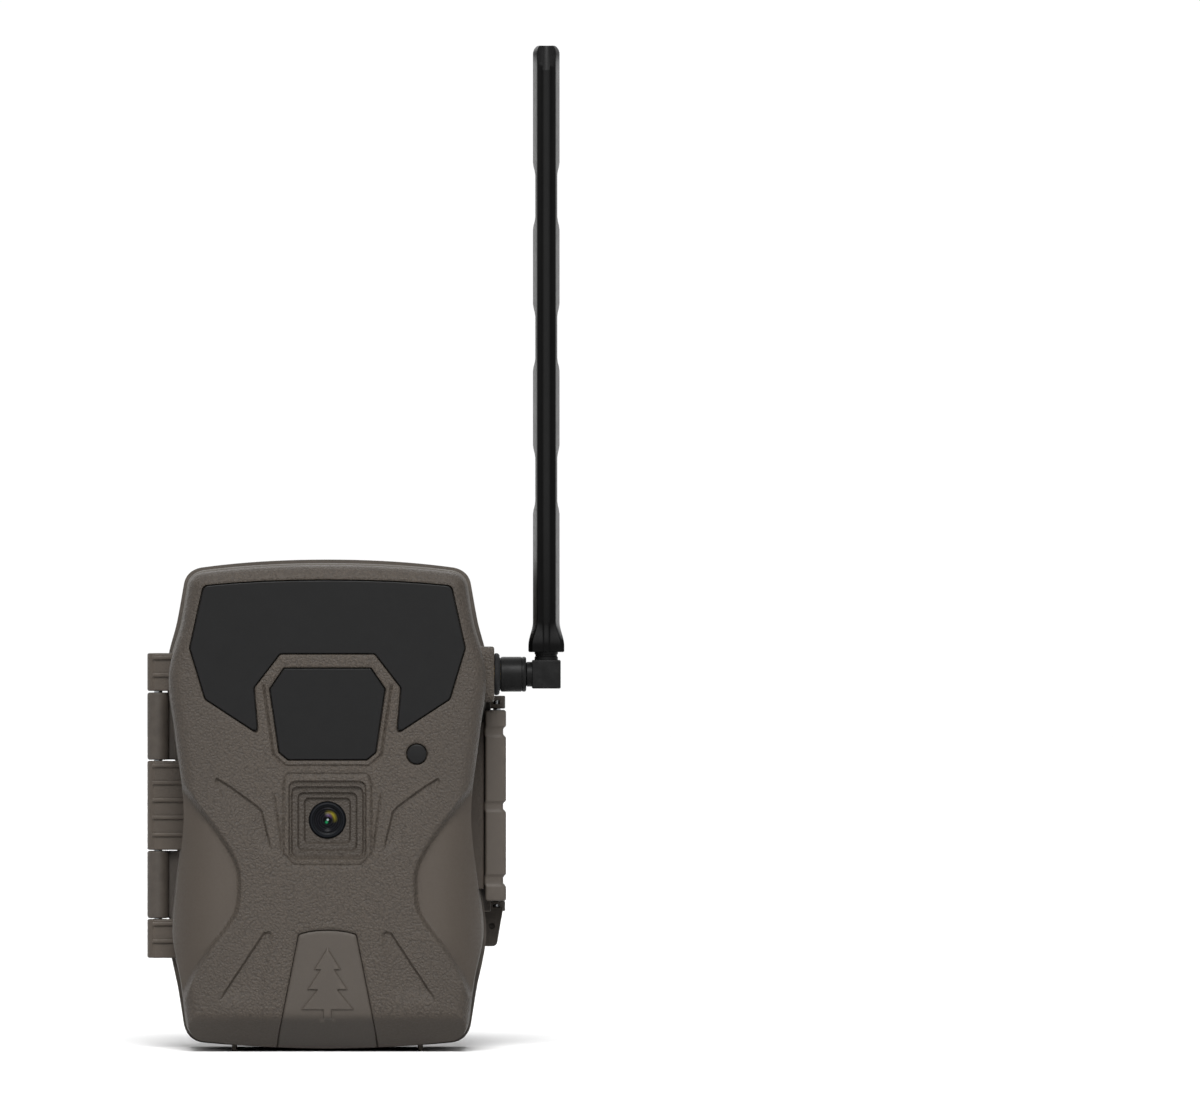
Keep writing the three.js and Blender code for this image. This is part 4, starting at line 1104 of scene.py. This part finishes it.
def housing_back(x, z):
    """The back wall: a rounded edge, and a shallow recess with low ribs between the strap bridges."""
    across = np.clip(1 - within(x, z, HOUSING_OUTLINE) / BACK_WIDTH, 0, 1)
    edge = BACK_DEPTH * (1 - np.sqrt(1 - across ** 2))
    recess = 0.8 * ramp(within(x, z, BACK_RECESS), 0, 0.8)
    to_rib = np.min([np.abs(z - rib_z) for rib_z in BACK_RIBS], axis=0)
    ribs = 0.8 * (1 - ramp(to_rib, 0.4, 1.1)) * ramp(within(x, z, BACK_RECESS), 2.2, 2.8)
    return BACK_Y - edge - recess + ribs


def back_lines():
    lines = edge_lines(HOUSING_OUTLINE, BACK_WIDTH, 1.5)
    lines += contours(BACK_RECESS, (0, 0.4, 0.8, 2.2, 2.8), 0.8)
    return lines + level_lines([z + step for z in BACK_RIBS for step in (-1.1, -0.4, 0.4, 1.1)], 15.5, 1.5)


def tree_pad(bottom, top):
    """A toothed V that settles against a trunk, with a flat land on each side of it."""
    corners = [(-22, BACK_Y - 1), (-22, BRACKET_Y), (-14, BRACKET_Y)]
    teeth, depth = 4, 4.5
    for step in range(2 * teeth + 1):
        x = -14 + 14 * step / teeth
        if step > 0:
            corners.append((x, BRACKET_Y - depth * (1 - abs(step - teeth) / teeth)))
        if step < 2 * teeth:
            corners.append((x + 7 / teeth, BRACKET_Y - depth * (1 - abs(step + 0.5 - teeth) / teeth) + 0.9))
    corners += [(22, BRACKET_Y), (22, BACK_Y - 1)]
    return prism("pad", corners, "z", bottom, top, 0.35)


def strap_bridge(side):
    low, high = sorted((side * 23, side * 32))
    corners = [(BACK_Y - 1, 94, 0.8), (BACK_Y + 8, 94, 2.2), (BACK_Y + 8, 58, 2.2), (BACK_Y - 1, 58, 0.8)]
    bridge = prism("bridge", corners, "x", low, high, 0.8)
    gap = box("gap", (low - 1, high + 1), (BACK_Y - 0.01, BACK_Y + 4.8), (61, 91), 0.7)
    return combine(bridge, "DIFFERENCE", [gap])


def latch_ear(bottom, top):
    y = LATCH[1]
    outer = LATCH_OUTER_X - 0.1
    corners = [(44.5, y + 5), (outer, y + 3, 2.6), (outer, y - 3, 2.6), (44.5, y - 3)]
    ear = prism("ear", corners, "z", bottom, top)
    middle = (bottom + top) / 2
    slot = box("slot", (LATCH[0] - 1.3, LATCH[0] + 0.9), (y - 4, y - 0.9), (middle - 0.6, middle + 0.6), 0.1)
    return combine(ear, "DIFFERENCE", [slot])


def make_housing():
    housing = field_solid("housing_shell", HOUSING_OUTLINE, back_lines(), housing_back, SPLIT_Y, 1.8)
    hinge_x, hinge_y = HINGE
    rear_y = hinge_y + HINGE_BARREL
    sweep = rod("sweep", HINGE_BARREL + 0.4, 27.9, 124.2, "z", (*HINGE, 0), 0.1)
    combine(housing, "DIFFERENCE", [sweep])
    pieces = []
    for bottom, top in HOUSING_KNUCKLES:
        pieces.append(rod("barrel", HINGE_BARREL, bottom, top, "z", (*HINGE, 0), 0.6))
        pieces.append(box("web", (hinge_x, -44.5), (SPLIT_Y + 0.4, rear_y), (bottom, top), 0.5))
    tab_corners = [(44, 45), (54.8, 44, 0.4), (54.8, 42.9, 0.6), (52.9, 31.9, 1.7), (44, 31.9)]
    pieces.append(prism("tab", tab_corners, "y", -2, 1.5))
    pieces += [latch_ear(*level) for level in EAR_LEVELS]
    pieces.append(box("rail", (44, 51), (RAIL_Y, -5.5), (EAR_LEVELS[0][0], EAR_LEVELS[1][1]), 0.4))
    pieces.append(box("base", (-15, 15), (-7, 16), (0, 3), 0.5))
    pieces += [box("foot", (x - 0.7, x + 0.7), (-8, 14), (0, 3), 0.25) for x in (-29, 29)]
    pieces += [tree_pad(14, 40), tree_pad(112, 138), strap_bridge(-1), strap_bridge(1)]
    combine(housing, "UNION", pieces)
    cavity = stacked("cavity", HOUSING_OUTLINE, [(SPLIT_Y - 1, WALL), (BACK_Y - WALL, WALL)])
    dimple = rod("dimple", 1, -5, -0.5, "y", (51.4, 0, 38.2), 0.1)
    combine(housing, "DIFFERENCE", [cavity, dimple])
    ledge = stacked("ledge", HOUSING_OUTLINE, [(-7.5, WALL - 0.5), (-5.5, WALL - 0.5)])
    inner = stacked("inner", HOUSING_OUTLINE, [(-8, 5.2), (-5, 5.2)])
    combine(ledge, "DIFFERENCE", [inner])
    boss = rod("tripod_boss", 6.8, 1, 12, "z", (0, TRIPOD_Y, 0), 0.3)
    combine(housing, "UNION", [ledge, boss])
    combine(housing, "DIFFERENCE", [
        rod("tripod_hole", 4.95, -1, 11.2, "z", (0, TRIPOD_Y, 0), 0.1),
        box("port_pocket", (-60, -45.1), (-0.3, 12.3), (68.6, 82.5), 0.5),
        rod("port_hole", 4.1, -60, -40, "x", (0, 6, 76), 0.1),
        rod("hinge_bore", 1.55, 20, 130, "z", (*HINGE, 0), 0.1),
        rod("latch_bore", 1.45, 43.6, 109.4, "z", (*LATCH, 0), 0.1),
    ])
    merge_flats(housing)
    side, y, z = vertex_places(housing)
    # Painted shade down the sides of the housing's front rim.
    rim = (1 - ramp(y, -9, -6)) * ramp(np.abs(side), 38, 44) * (1 - ramp(z, 138, 146))
    mark(housing, "shade", 0.45 * rim)
    finish_piece(housing, "housing", "smooth_shell", "shell", "rear_housing")
    # Painted shade: the brackets, the lock tab and the front of the rail take a darker copy of the shell
    # paint.
    housing.data.materials.append(PAINTS["shell_in_shade"])
    for face in housing.data.polygons:
        x, y, _ = face.center / MM
        on_rail = x > 47 and abs(y - RAIL_Y) < 0.1
        face.material_index = int(x > SHADE_X or on_rail)


# ---------- Latch ----------

LEVER_Z = (46.4, 105.8)
LEVER_GROOVES = [(50.7, 54.9), (73.9, 77.8), (97.2, 101.1)]


def lever_ring(z, dip, shrink):
    """The lever from above. `dip` is how far it is sunk into a finger groove."""
    x, y = LATCH
    outer, front, nose = LATCH_OUTER_X - dip, -18 + 0.5 * dip, 49.2 - 0.35 * dip
    corners = [
        (x - 2.7, y + 2.7, 2.4), (outer, y + 2.7, 2.4), (outer, front, 1.6), (nose, front, 0.8),
        (nose, -14.4, 0.6), (x - 0.6, -13.2, 1.2), (x - 0.6, y - 3.3, 1), (x - 2.7, y - 1.7, 1),
    ]
    return placed(rounded(inset(corners, shrink)), "z", z)


def make_lever():
    low, high = LEVER_Z
    rings = [lever_ring(low, 0, 0.5), lever_ring(low + 0.15, 0, 0.2), lever_ring(low + 0.5, 0, 0)]
    slope = 1.2
    for bottom, top in LEVER_GROOVES:
        for share in (0, 0.3, 0.6, 1):
            rings.append(lever_ring(bottom + slope * share, 0.9 * float(ramp(share, 0, 1)), 0))
        for share in (1, 0.6, 0.3, 0):
            rings.append(lever_ring(top - slope * share, 0.9 * float(ramp(share, 0, 1)), 0))
    rings += [lever_ring(high - 0.5, 0, 0), lever_ring(high - 0.15, 0, 0.2), lever_ring(high, 0, 0.5)]
    lever = lofted("latch", rings)
    combine(lever, "DIFFERENCE", [rod("bore", 1.45, 40, 110, "z", (*LATCH, 0), 0.1)])
    merge_flats(lever)
    finish_piece(lever, "latch", "smooth_shell", "shell", "latch_lever")


# ---------- Antenna ----------

MAST_TOP = 312.8
MAST_RIDGE = 4.3         # how far the ridges stand from the middle
MAST_FINS = [(120, 167, 171), (184.5, 211.5, 215.5), (228.5, 255.5, 259.5), (272.5, 315, 320)]
TIP_FOOT, TIP_HEIGHT = 310.2, 2.9

# Round scoops in the mast's front and back, which start at this height and deepen up to the tip.
SCOOP_FOOT, SCOOP_RADIUS, SCOOP_TILT = 305.2, 3.4, math.radians(18.9)


def scoop_axis(z):
    """How far the axis of a scoop's cylinder is from the mast's middle, at a height."""
    return MAST_RIDGE + SCOOP_RADIUS / math.cos(SCOOP_TILT) - (z - SCOOP_FOOT) * math.tan(SCOOP_TILT)


def mast_section(z):
    """A column with a ridge on its front and back. Over four stretches its sides spread into fins."""
    fins = sum(ramp(z, low, low + 4) * (1 - ramp(z, shoulder, top)) for low, shoulder, top in MAST_FINS)
    foot = 1 - ramp(z, 126, 133.5)
    tip = math.sqrt(1 - (max(0.0, z - TIP_FOOT) / TIP_HEIGHT) ** 2)
    ridge_y, flat_y = MAST_RIDGE + 1.1 * foot, 3.95 + 1.3 * foot
    corner_x = 3.05 + 1.6 * foot
    side_x = (3.4 + 0.75 * fins) * (1 - foot) + 5.55 * foot
    side_y = (3.0 - 2.6 * fins) * (1 - foot) + 4.3 * foot
    quarter = [(0.6, ridge_y), (0.95, ridge_y - 0.1), (1.3, flat_y), (corner_x - 0.3, flat_y),
               (corner_x, flat_y - 0.3), (side_x, side_y)]
    spread = 0.38 + 0.62 * tip
    quarter = [(x * spread, y * (0.6 + 0.4 * tip)) for x, y in quarter]
    half = quarter + [(x, -y) for x, y in reversed(quarter)]
    ring = half + [(-x, y) for x, y in reversed(half)]
    return [(MAST_X + x, ANTENNA_Y + y, z) for x, y in ring]


def make_mast():
    """The mast: lofted through its sections, with the scoops cut at its tip."""
    levels = [124.25, *np.arange(124.6, 134, 0.6)]
    for low, shoulder, top in MAST_FINS:
        bends = (low, low + 1.3, low + 2.7, low + 4, shoulder, shoulder + 1.3, shoulder + 2.7, top)
        levels += [z for z in bends if 134 < z < 310]
    levels += [*np.arange(303, 310, 1.0), *np.arange(310, 312.6, 0.4), 312.65, MAST_TOP]
    rings = [mast_section(z) for z in levels]
    foot = np.array(rings[0])
    middle = np.array([MAST_X, ANTENNA_Y, 124])
    rings.insert(0, middle + (foot - [0, 0, 0.25] - middle) * [0.95, 0.95, 1])
    mast = lofted("whip", rings)
    scoops = []
    for side in (-1, 1):
        profile = [(0, -12), (SCOOP_RADIUS, -12), (SCOOP_RADIUS, 12), (0, 12)]
        scoop = turned("scoop", profile, "z", (0, 0, 0), 96)
        scoop.rotation_euler = (side * SCOOP_TILT, 0, 0)
        scoop.location = (MAST_X * MM, (ANTENNA_Y + side * scoop_axis(SCOOP_FOOT)) * MM, SCOOP_FOOT * MM)
        scoops.append(scoop)
    bpy.context.view_layer.update()
    combine(mast, "DIFFERENCE", scoops)
    x, y, z = vertex_places(mast)
    aside, ahead = np.abs(x - MAST_X), np.abs(y - ANTENNA_Y)
    from_axis = np.hypot(aside, (ahead - scoop_axis(z)) * math.cos(SCOOP_TILT))
    scooped = (from_axis < SCOOP_RADIUS + 0.03) & (z > SCOOP_FOOT - 1)
    shaft = ramp(z, 126, 136) * (1 - ramp(z, 306, 310))
    # Painted shade on the flanks beside the ridges and all over the foot.
    mark(mast, "shade", np.maximum(ramp(aside, 0.8, 1.3) * ~scooped, 1 - ramp(z, 132, 136)))
    mark(mast, "gloss", (1 - ramp(ahead, 3.6, 3.95)) * shaft * ~scooped)
    finish_piece(mast, "antenna", "black_plastic", "whip", "antenna_mast", angle=40)


def make_antenna_base():
    """The elbow, the coupling nut and the ring that seals it to the door."""
    half = 4.45
    centre = (MAST_X, ANTENNA_Y, ANTENNA_Z)
    elbow = box("elbow", *[(c - half, c + half) for c in centre], 0.4)
    neck = turned("neck", [
        (0, 60.9), (2, 60.9), (2, 61.95), (3.6, 61.95), (3.87, 62.2), (3.87, 64.2), (0, 64.2),
    ], "x", centre)
    upper = turned("upper", [
        (0, 118), (3.65, 118), (3.65, 122.4), (3.4, 122.7), (3.4, 123.2), (3.65, 123.4), (3.65, 124.2),
        (0, 124.2),
    ], "z", centre)
    combine(elbow, "UNION", [neck, upper])
    finish_piece(elbow, "antenna", "black_plastic", "whip", "antenna_elbow")

    nut = turned("coupling_nut", [
        (3.3, 53.9), (4.9, 53.9), (5.3, 54.05), (5.45, 54.4), (5.45, 60.3), (5.3, 60.45), (5.3, 60.7),
        (5.45, 60.85), (5.45, 61.4), (5.3, 61.75), (4.9, 61.9), (2.3, 61.9), (2.3, 60.8), (3.3, 60.8),
    ], "x", centre, 96)
    finish_piece(nut, "nut", "black_plastic", "whip", "antenna_nut")
    ring = turned("port_seal", [
        (3.4, 52), (6.3, 52), (6.5, 52.15), (6.55, 52.4), (6.55, 52.9), (6.35, 53.3), (5.9, 53.6),
        (5.2, 53.6), (5.1, 53.85), (3.4, 53.85),
    ], "x", centre, 96)
    finish_piece(ring, "door", "rubber", "rubber", "antenna_seal_ring")


# ---------- Lens ----------


def make_lens():
    centre = (0, 0, LENS_Z)
    front = LENS_FLOOR_Y - 0.7
    bezel = turned("lens_bezel", [
        (4.1, front + 1.9), (4.1, front + 0.9), (4.45, front + 0.75), (4.5, front + 0.3), (4.75, front + 0.2),
        (4.85, front), (5.2, front), (5.45, front + 0.12), (5.55, front + 0.4), (5.55, front + 1.9),
    ], "y", centre, 96)
    finish_piece(bezel, "door", "black_plastic", "bezel", "lens_ring", angle=50)
    steps = [(3.85, 0.55), (3.6, 0.5), (3.5, 0.62), (3.1, 0.66), (3.0, 0.8), (2.6, 0.84), (2.5, 0.98)]
    rim = 1.2
    dome = [(2.35 * math.sin(a), 0.98 - 0.85 * (math.cos(a) - math.cos(rim)))
            for a in np.linspace(rim, 0.1, 10)]
    profile = [(0, -40.4), (3.85, -40.4)]
    profile += [(radius, LENS_FLOOR_Y - 0.5 + depth) for radius, depth in steps + dome]
    profile.append((0, profile[-1][1] - 0.005))
    glass = turned("lens_element", profile, "y", centre, 96)
    finish_piece(glass, "door", "lens_glass", "lens", "lens_glass", angle=50)


# ---------- Inside the door ----------

PANEL_Y = SPLIT_Y - 0.6
PANEL_FRONT = PANEL_Y - 2
KEY_CENTRE, KEY_SPACING = np.array([-14, 70]), 13
KEYS = {"ok": (0, 0), "up": (0, 1), "down": (0, -1), "left": (1, 0), "right": (-1, 0)}
SCREEN = ((-31, 3), (99, 125))
SWITCH_SLOT = ((17, 31), (33.6, 39.6))
CARD_OPENING = ((11.4, 36.6), (81, 104))
PANEL_SCREWS = [(-38, 136), (38, 136), (-36.5, 16), (36.5, 16)]


def key_centre(across, up):
    return KEY_CENTRE + KEY_SPACING * np.array([across, up])


def make_panel():
    """The panel that closes the door, with low frames round everything that passes through it."""
    edge = inset(DOOR_OUTLINE, WALL + GAP)
    rounds = [(PANEL_FRONT, 0), (PANEL_Y - 0.5, 0), (PANEL_Y - 0.15, 0.15), (PANEL_Y, 0.5)]
    panel = stacked("door_panel", edge, rounds)
    frame_top = PANEL_Y + 0.45
    raised = [prism("frame", grown(*opening, margin, 1.8), "y", PANEL_Y - 0.5, frame_top, 0.3)
              for opening, margin in ((SCREEN, 2.4), (SWITCH_SLOT, 1.8), (CARD_OPENING, 1.8))]
    holes = [prism("hole", grown(*opening, 0, 0.8), "y", PANEL_FRONT - 1, PANEL_Y + 3, 0.05)
             for opening in (SCREEN, SWITCH_SLOT, CARD_OPENING)]
    for across, up in KEYS.values():
        x, z = key_centre(across, up)
        raised.append(rod("collar", 6, PANEL_Y - 0.5, frame_top, "y", (x, 0, z), 0.3))
        holes.append(rod("key_hole", 4.8, PANEL_FRONT - 1, PANEL_Y + 3, "y", (x, 0, z), 0.1))
    for x, z in PANEL_SCREWS:
        raised.append(rod("collar", 4, PANEL_Y - 0.5, PANEL_Y + 0.2, "y", (x, 0, z), 0.15))
        holes.append(rod("seat", 2.9, PANEL_Y - 1.3, PANEL_Y + 3, "y", (x, 0, z), 0.1))
        holes.append(rod("shank_hole", 1.3, PANEL_FRONT - 1, PANEL_Y, "y", (x, 0, z), 0.1))
    for x in (20.4, 24, 27.6):
        raised.append(box("mark", (x - 0.3, x + 0.3), (PANEL_Y - 0.5, PANEL_Y + 0.25), (42.2, 44.2), 0.1))
    for z in (24, 47.5, 52, 56.5):
        raised.append(box("rib", (14, 38), (PANEL_Y - 0.5, PANEL_Y + 0.35), (z - 0.6, z + 0.6), 0.25))
    combine(panel, "UNION", raised)
    combine(panel, "DIFFERENCE", holes)
    merge_flats(panel)
    finish_piece(panel, "door", "grey_plastic", "grey", "inner_panel", flat_along=(0, 1, 0))


def make_key(name, across, up):
    """A dished rubber key with a raised sign: an arrow, or a dot on the middle key."""
    x, z = centre = key_centre(across, up)
    foot, top = PANEL_FRONT - 1.8, PANEL_Y + 1.7
    key = turned(f"key_{name}", [
        (0, foot), (5.4, foot), (5.4, foot + 1.5), (4.5, foot + 1.6), (4.5, top - 0.9), (4.4, top - 0.45),
        (4.1, top - 0.15), (3.6, top), (0, top - 0.3),
    ], "y", (x, 0, z), 48)
    if name == "ok":
        sign = rod("sign", 1.3, top - 0.6, top + 0.1, "y", (x, 0, z), 0.1)
    else:
        ahead, aside = np.array([across, up]), np.array([up, -across])
        tips = [centre + 1.9 * ahead, centre - 1.1 * ahead + 2 * aside, centre - 1.1 * ahead - 2 * aside]
        sign = prism("sign", [(*tip, 0.2) for tip in tips], "y", top - 0.6, top + 0.1, 0.08, 2)
    combine(key, "UNION", [sign])
    _, y, _ = vertex_places(key)
    mark(key, "print", ramp(y, top + 0.01, top + 0.02))
    finish_piece(key, f"button_{name}_key", "rubber", "rubber", f"button_{name}")


def make_screw(number, x, z):
    """A pan-head screw with a cross recess and a threaded shank."""
    top = PANEL_Y - 0.1
    thread = []
    for turn in np.arange(-19.6, -12.6, 0.7):
        thread += [(0.8, turn), (1, turn + 0.35)]
    screw = turned(f"screw_{number}", [
        (0, -20.5), *thread, (0.9, top - 1.1), (2.6, top - 1.1), (2.6, top - 0.6), (2.35, top - 0.25),
        (1.6, top - 0.04), (0, top),
    ], "y", (x, 0, z), 40)
    arms = [box("arm", (x - a, x + a), (top - 0.7, top + 1), (z - b, z + b), 0.05)
            for a, b in ((1.5, 0.32), (0.32, 1.5))]
    combine(screw, "DIFFERENCE", arms)
    finish_piece(screw, "door", "steel", "steel", f"panel_screw_{number}")


def make_switch():
    knob = box("power_slider", (17.4, 23.4), (PANEL_FRONT - 1.2, PANEL_Y + 1.5), (34, 39.2), 0.35)
    foot = box("foot", (15.4, 25.4), (PANEL_FRONT - 2.2, PANEL_FRONT - 0.6), (32, 41.2), 0.3)
    grips = [box("grip", (x - 0.35, x + 0.35), (PANEL_Y + 1, PANEL_Y + 3), (33, 40), 0.05)
             for x in (18.9, 20.4, 21.9)]
    combine(knob, "UNION", [foot])
    combine(knob, "DIFFERENCE", grips)
    finish_piece(knob, "switch", "black_plastic", "black", "power_switch")


def make_card():
    """The memory card, with one cut corner, a blank label and a grip ridge."""
    back = PANEL_FRONT - 1.2
    card = prism("card_body", [(16, 128, 0.8), (36, 128, 1), (36, 96, 1), (12, 96, 1), (12, 124, 0.8)],
                 "y", back - 2.1, back, 0.2)
    label = prism("label", grown((14.5, 33.5), (100.5, 122), 0, 1), "y", back - 0.15, back + 1, 0.05)
    combine(card, "DIFFERENCE", [label])
    combine(card, "UNION", [box("ridge", (15, 33), (back - 0.5, back + 0.2), (97, 98.4), 0.15)])
    _, y, _ = vertex_places(card)
    mark(card, "print", (np.abs(y - back + 0.15) < 0.02).astype(float))
    finish_piece(card, "card", "black_plastic", "black", "memory_card")


# ---------- Battery bay ----------

CELL_Y, CELL_PITCH = 7.7, 15.5
COLUMNS = [step * CELL_PITCH for step in (-1.5, -0.5, 0.5, 1.5)]
BAY_HEIGHT = 56.8
BAYS = {"lower": 19, "upper": 19 + BAY_HEIGHT + 3}
STRIP, SPRING_HEIGHT = 0.5, 4


def make_tray():
    """The tray: a trough for each cell, with open ends for the contacts."""
    tray = box("cell_tray", (-33, 33), (-1, 16.8), (17, 137.6), 0.6)
    cuts = []
    for bottom in BAYS.values():
        top = bottom + BAY_HEIGHT
        cuts.append(box("mouth", (-31.3, 31.3), (-3, CELL_Y - 2), (bottom, top), 0.3))
        for span in ((bottom, bottom + 6), (top - 6, top)):
            cuts.append(box("end", (-31.3, 31.3), (-3, 15.3), span, 0.3))
        cuts += [rod("trough", 7.6, bottom + 1, top - 1, "z", (x, CELL_Y, 0), 0.1) for x in COLUMNS]
    combine(tray, "DIFFERENCE", cuts)
    finish_piece(tray, "housing", "grey_plastic", "grey", "battery_tray")


def make_cell(number, x, base, turn):
    """A cell standing on `base`: `turn` is 1 when its button is up and -1 when it is down."""
    def laid(profile):
        return [(radius, base + turn * distance) for radius, distance in profile]

    centre = (x, CELL_Y, 0)
    sleeve = turned(f"cell_sleeve_{number}", laid([
        (5.9, 0.2), (6.6, 0.05), (7, 0.35), (7.1, 0.9), (7.1, 35.9), (7.1, 36.1), (7.1, 48.4), (7, 48.9),
        (6.6, 49.2), (5.9, 49.2),
    ]), "z", centre, 48)
    _, _, z = vertex_places(sleeve)
    mark(sleeve, "print", ramp(turn * (z - base), 35.95, 36.05))
    finish_piece(sleeve, "housing", "cell_jacket", "jacket", f"aa_cell_{number}", angle=50)
    can = turned(f"cell_can_{number}", laid([
        (0, 0.3), (4.6, 0.3), (5, 0.05), (5.5, 0.05), (5.85, 0.3), (5.85, 49), (5.3, 49.3), (4.6, 49.05),
        (3.1, 49.05), (2.75, 49.3), (2.7, 50.1), (2.4, 50.45), (0, 50.5),
    ]), "z", centre, 48)
    finish_piece(can, "housing", "steel", "steel", f"aa_cell_{number}")


def coil(centre, start, end, wide=3.2, narrow=2, turns=3.5, wire=0.32):
    """A conical spring along z."""
    rings = []
    steps = round(turns * 18)
    for step in range(steps + 1):
        share = step / steps
        angle = 2 * math.pi * turns * share
        outward = np.array([math.cos(angle), math.sin(angle), 0])
        middle = np.array([*centre, start + (end - start) * share])
        middle += outward * (wide + (narrow - wide) * share)
        rings.append([middle + wire * (outward * math.cos(a) + np.array([0, 0, math.sin(a)]))
                      for a in np.arange(0, 2 * math.pi, math.pi / 4)])
    return lofted("coil", rings)


def make_contact(label, end, z, turn):
    """A strip across one end of a bay, with a spring or a boss for each cell. `turn` points at the cells."""
    low, high = sorted((z, z + turn * STRIP))
    strip = box(f"contact_strip_{label}_{end}", (-30.5, 30.5), (1.2, 14.2), (low, high), 0.1)
    surface = z + turn * STRIP
    sprung = 0 if end == "bottom" else 1
    parts = []
    for index, x in enumerate(COLUMNS):
        if index % 2 == sprung:
            parts.append(coil((x, CELL_Y), surface + turn * 0.15, surface + turn * (SPRING_HEIGHT - 0.3)))
        else:
            outline = ((0, -0.2), (2.4, -0.2), (2.1, 0.4), (0, 0.5))
            profile = [(radius, surface + turn * rise) for radius, rise in outline]
            parts.append(turned("boss", profile, "z", (x, CELL_Y, 0), 32))
    combine(strip, "UNION", parts)
    finish_piece(strip, "housing", "steel", "steel", f"contact_{label}_{end}")


def make_battery_bay():
    make_tray()
    number = 0
    for label, bottom in BAYS.items():
        top = bottom + BAY_HEIGHT
        stand = GAP + STRIP + SPRING_HEIGHT + GAP
        for index, x in enumerate(COLUMNS):
            number += 1
            upright = index % 2 == 0
            make_cell(number, x, bottom + stand if upright else top - stand, 1 if upright else -1)
        make_contact(label, "bottom", bottom + GAP, 1)
        make_contact(label, "top", top - GAP, -1)


def make_seal():
    """The gasket in the housing's mouth, with a rounded lip."""
    outer = [(-7.8, 2.7), (-9.3, 2.7), (-9.7, 2.95), (-9.9, 3.4)]
    inner = [(-7, 4.9), (-9.3, 4.9), (-9.7, 4.65), (-9.9, 4.2), (-10.5, 4.2)]
    seal = stacked("door_gasket", HOUSING_OUTLINE, outer)
    combine(seal, "DIFFERENCE", [stacked("core", HOUSING_OUTLINE, inner)])
    finish_piece(seal, "housing", "rubber", "rubber", "door_seal")


def make_port_cover():
    """The rubber cover over the power socket: a plate with a raised rim, a pull tab and a plug."""
    plate = ((0, 12), (69.8, 82.2))
    cover = prism("port_cover", grown(*plate, 0, 1.4), "x", -46.5, -45.4, 0.25)
    rim = prism("rim", grown(*plate, -1, 1.2), "x", -46.9, -46, 0.2)
    dish = prism("dish", grown(*plate, -2, 0.8), "x", -48, -46.6, 0.15)
    tab = box("tab", (-47.4, -46.2), (3.5, 8.5), (79.4, 81.4), 0.4)
    plug = turned("plug", [
        (0, -45.8), (2.2, -45.8), (2.2, -44.9), (1.9, -44.9), (1.9, -44.6), (2.2, -44.6), (2, -44.3),
        (0, -44.3),
    ], "x", (0, 6, 76), 40)
    combine(cover, "UNION", [rim])
    combine(cover, "DIFFERENCE", [dish])
    combine(cover, "UNION", [tab, plug])
    finish_piece(cover, "dc_flap", "rubber", "rubber", "dc_cover")


# ---------- CAD nodes that are shown, painted and softened ----------

KEPT = {
    "black": ["lens_barrel", "lens_holder", "image_sensor", "screen_module", "dc_jack"],
    "board": ["image_board", "led_board", "main_board", "keypad_board"],
    "steel": ["pir_sensor", "cell_modem", "card_socket", "hinge_pin", "latch_pin"],
    "brass": ["antenna_port", "tripod_insert"],
    "glass": ["ir_cut_shutter", "screen_window"],
}


def soften(thing):
    """Rounds a CAD node's edges with modifiers: its own mesh stays as it is."""
    weld = thing.modifiers.new("weld", "WELD")
    weld.merge_threshold = 1e-6
    planar = thing.modifiers.new("planar", "DECIMATE")
    planar.decimate_type = "DISSOLVE"
    planar.angle_limit = math.radians(2)
    bevel = thing.modifiers.new("bevel", "BEVEL")
    bevel.width = 0.25 * MM
    bevel.segments = 2
    bevel.limit_method = "ANGLE"
    bevel.angle_limit = math.radians(40)
    thing.modifiers.new("normals", "WEIGHTED_NORMAL")


def dress_nodes():
    for paint, nodes in KEPT.items():
        for node in nodes:
            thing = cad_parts[node]
            thing.data.materials.clear()
            thing.data.materials.append(PAINTS[paint])
            soften(thing)


make_camera()
make_stage()
make_door()
window_plate("led_cover", LED_CORNERS, 1.5, 0.5, "led_window")
window_plate("motion_cover", PIR_CORNERS, 1.3, 0.7, "pir_window")
sensor_cover = rod("light_cover", 3, FRONT_Y + 0.3, FRONT_Y + 1.4, "y", (SENSOR[0], 0, SENSOR[1]), 0.35)
finish_piece(sensor_cover, "door", "smoked_window", "smoked", "sensor_window")
make_badge()
make_housing()
make_lever()
make_mast()
make_antenna_base()
make_lens()
make_panel()
for key, place in KEYS.items():
    make_key(key, *place)
for count, place in enumerate(PANEL_SCREWS, 1):
    make_screw(count, *place)
make_switch()
make_card()
make_battery_bay()
make_seal()
make_port_cover()
dress_nodes()
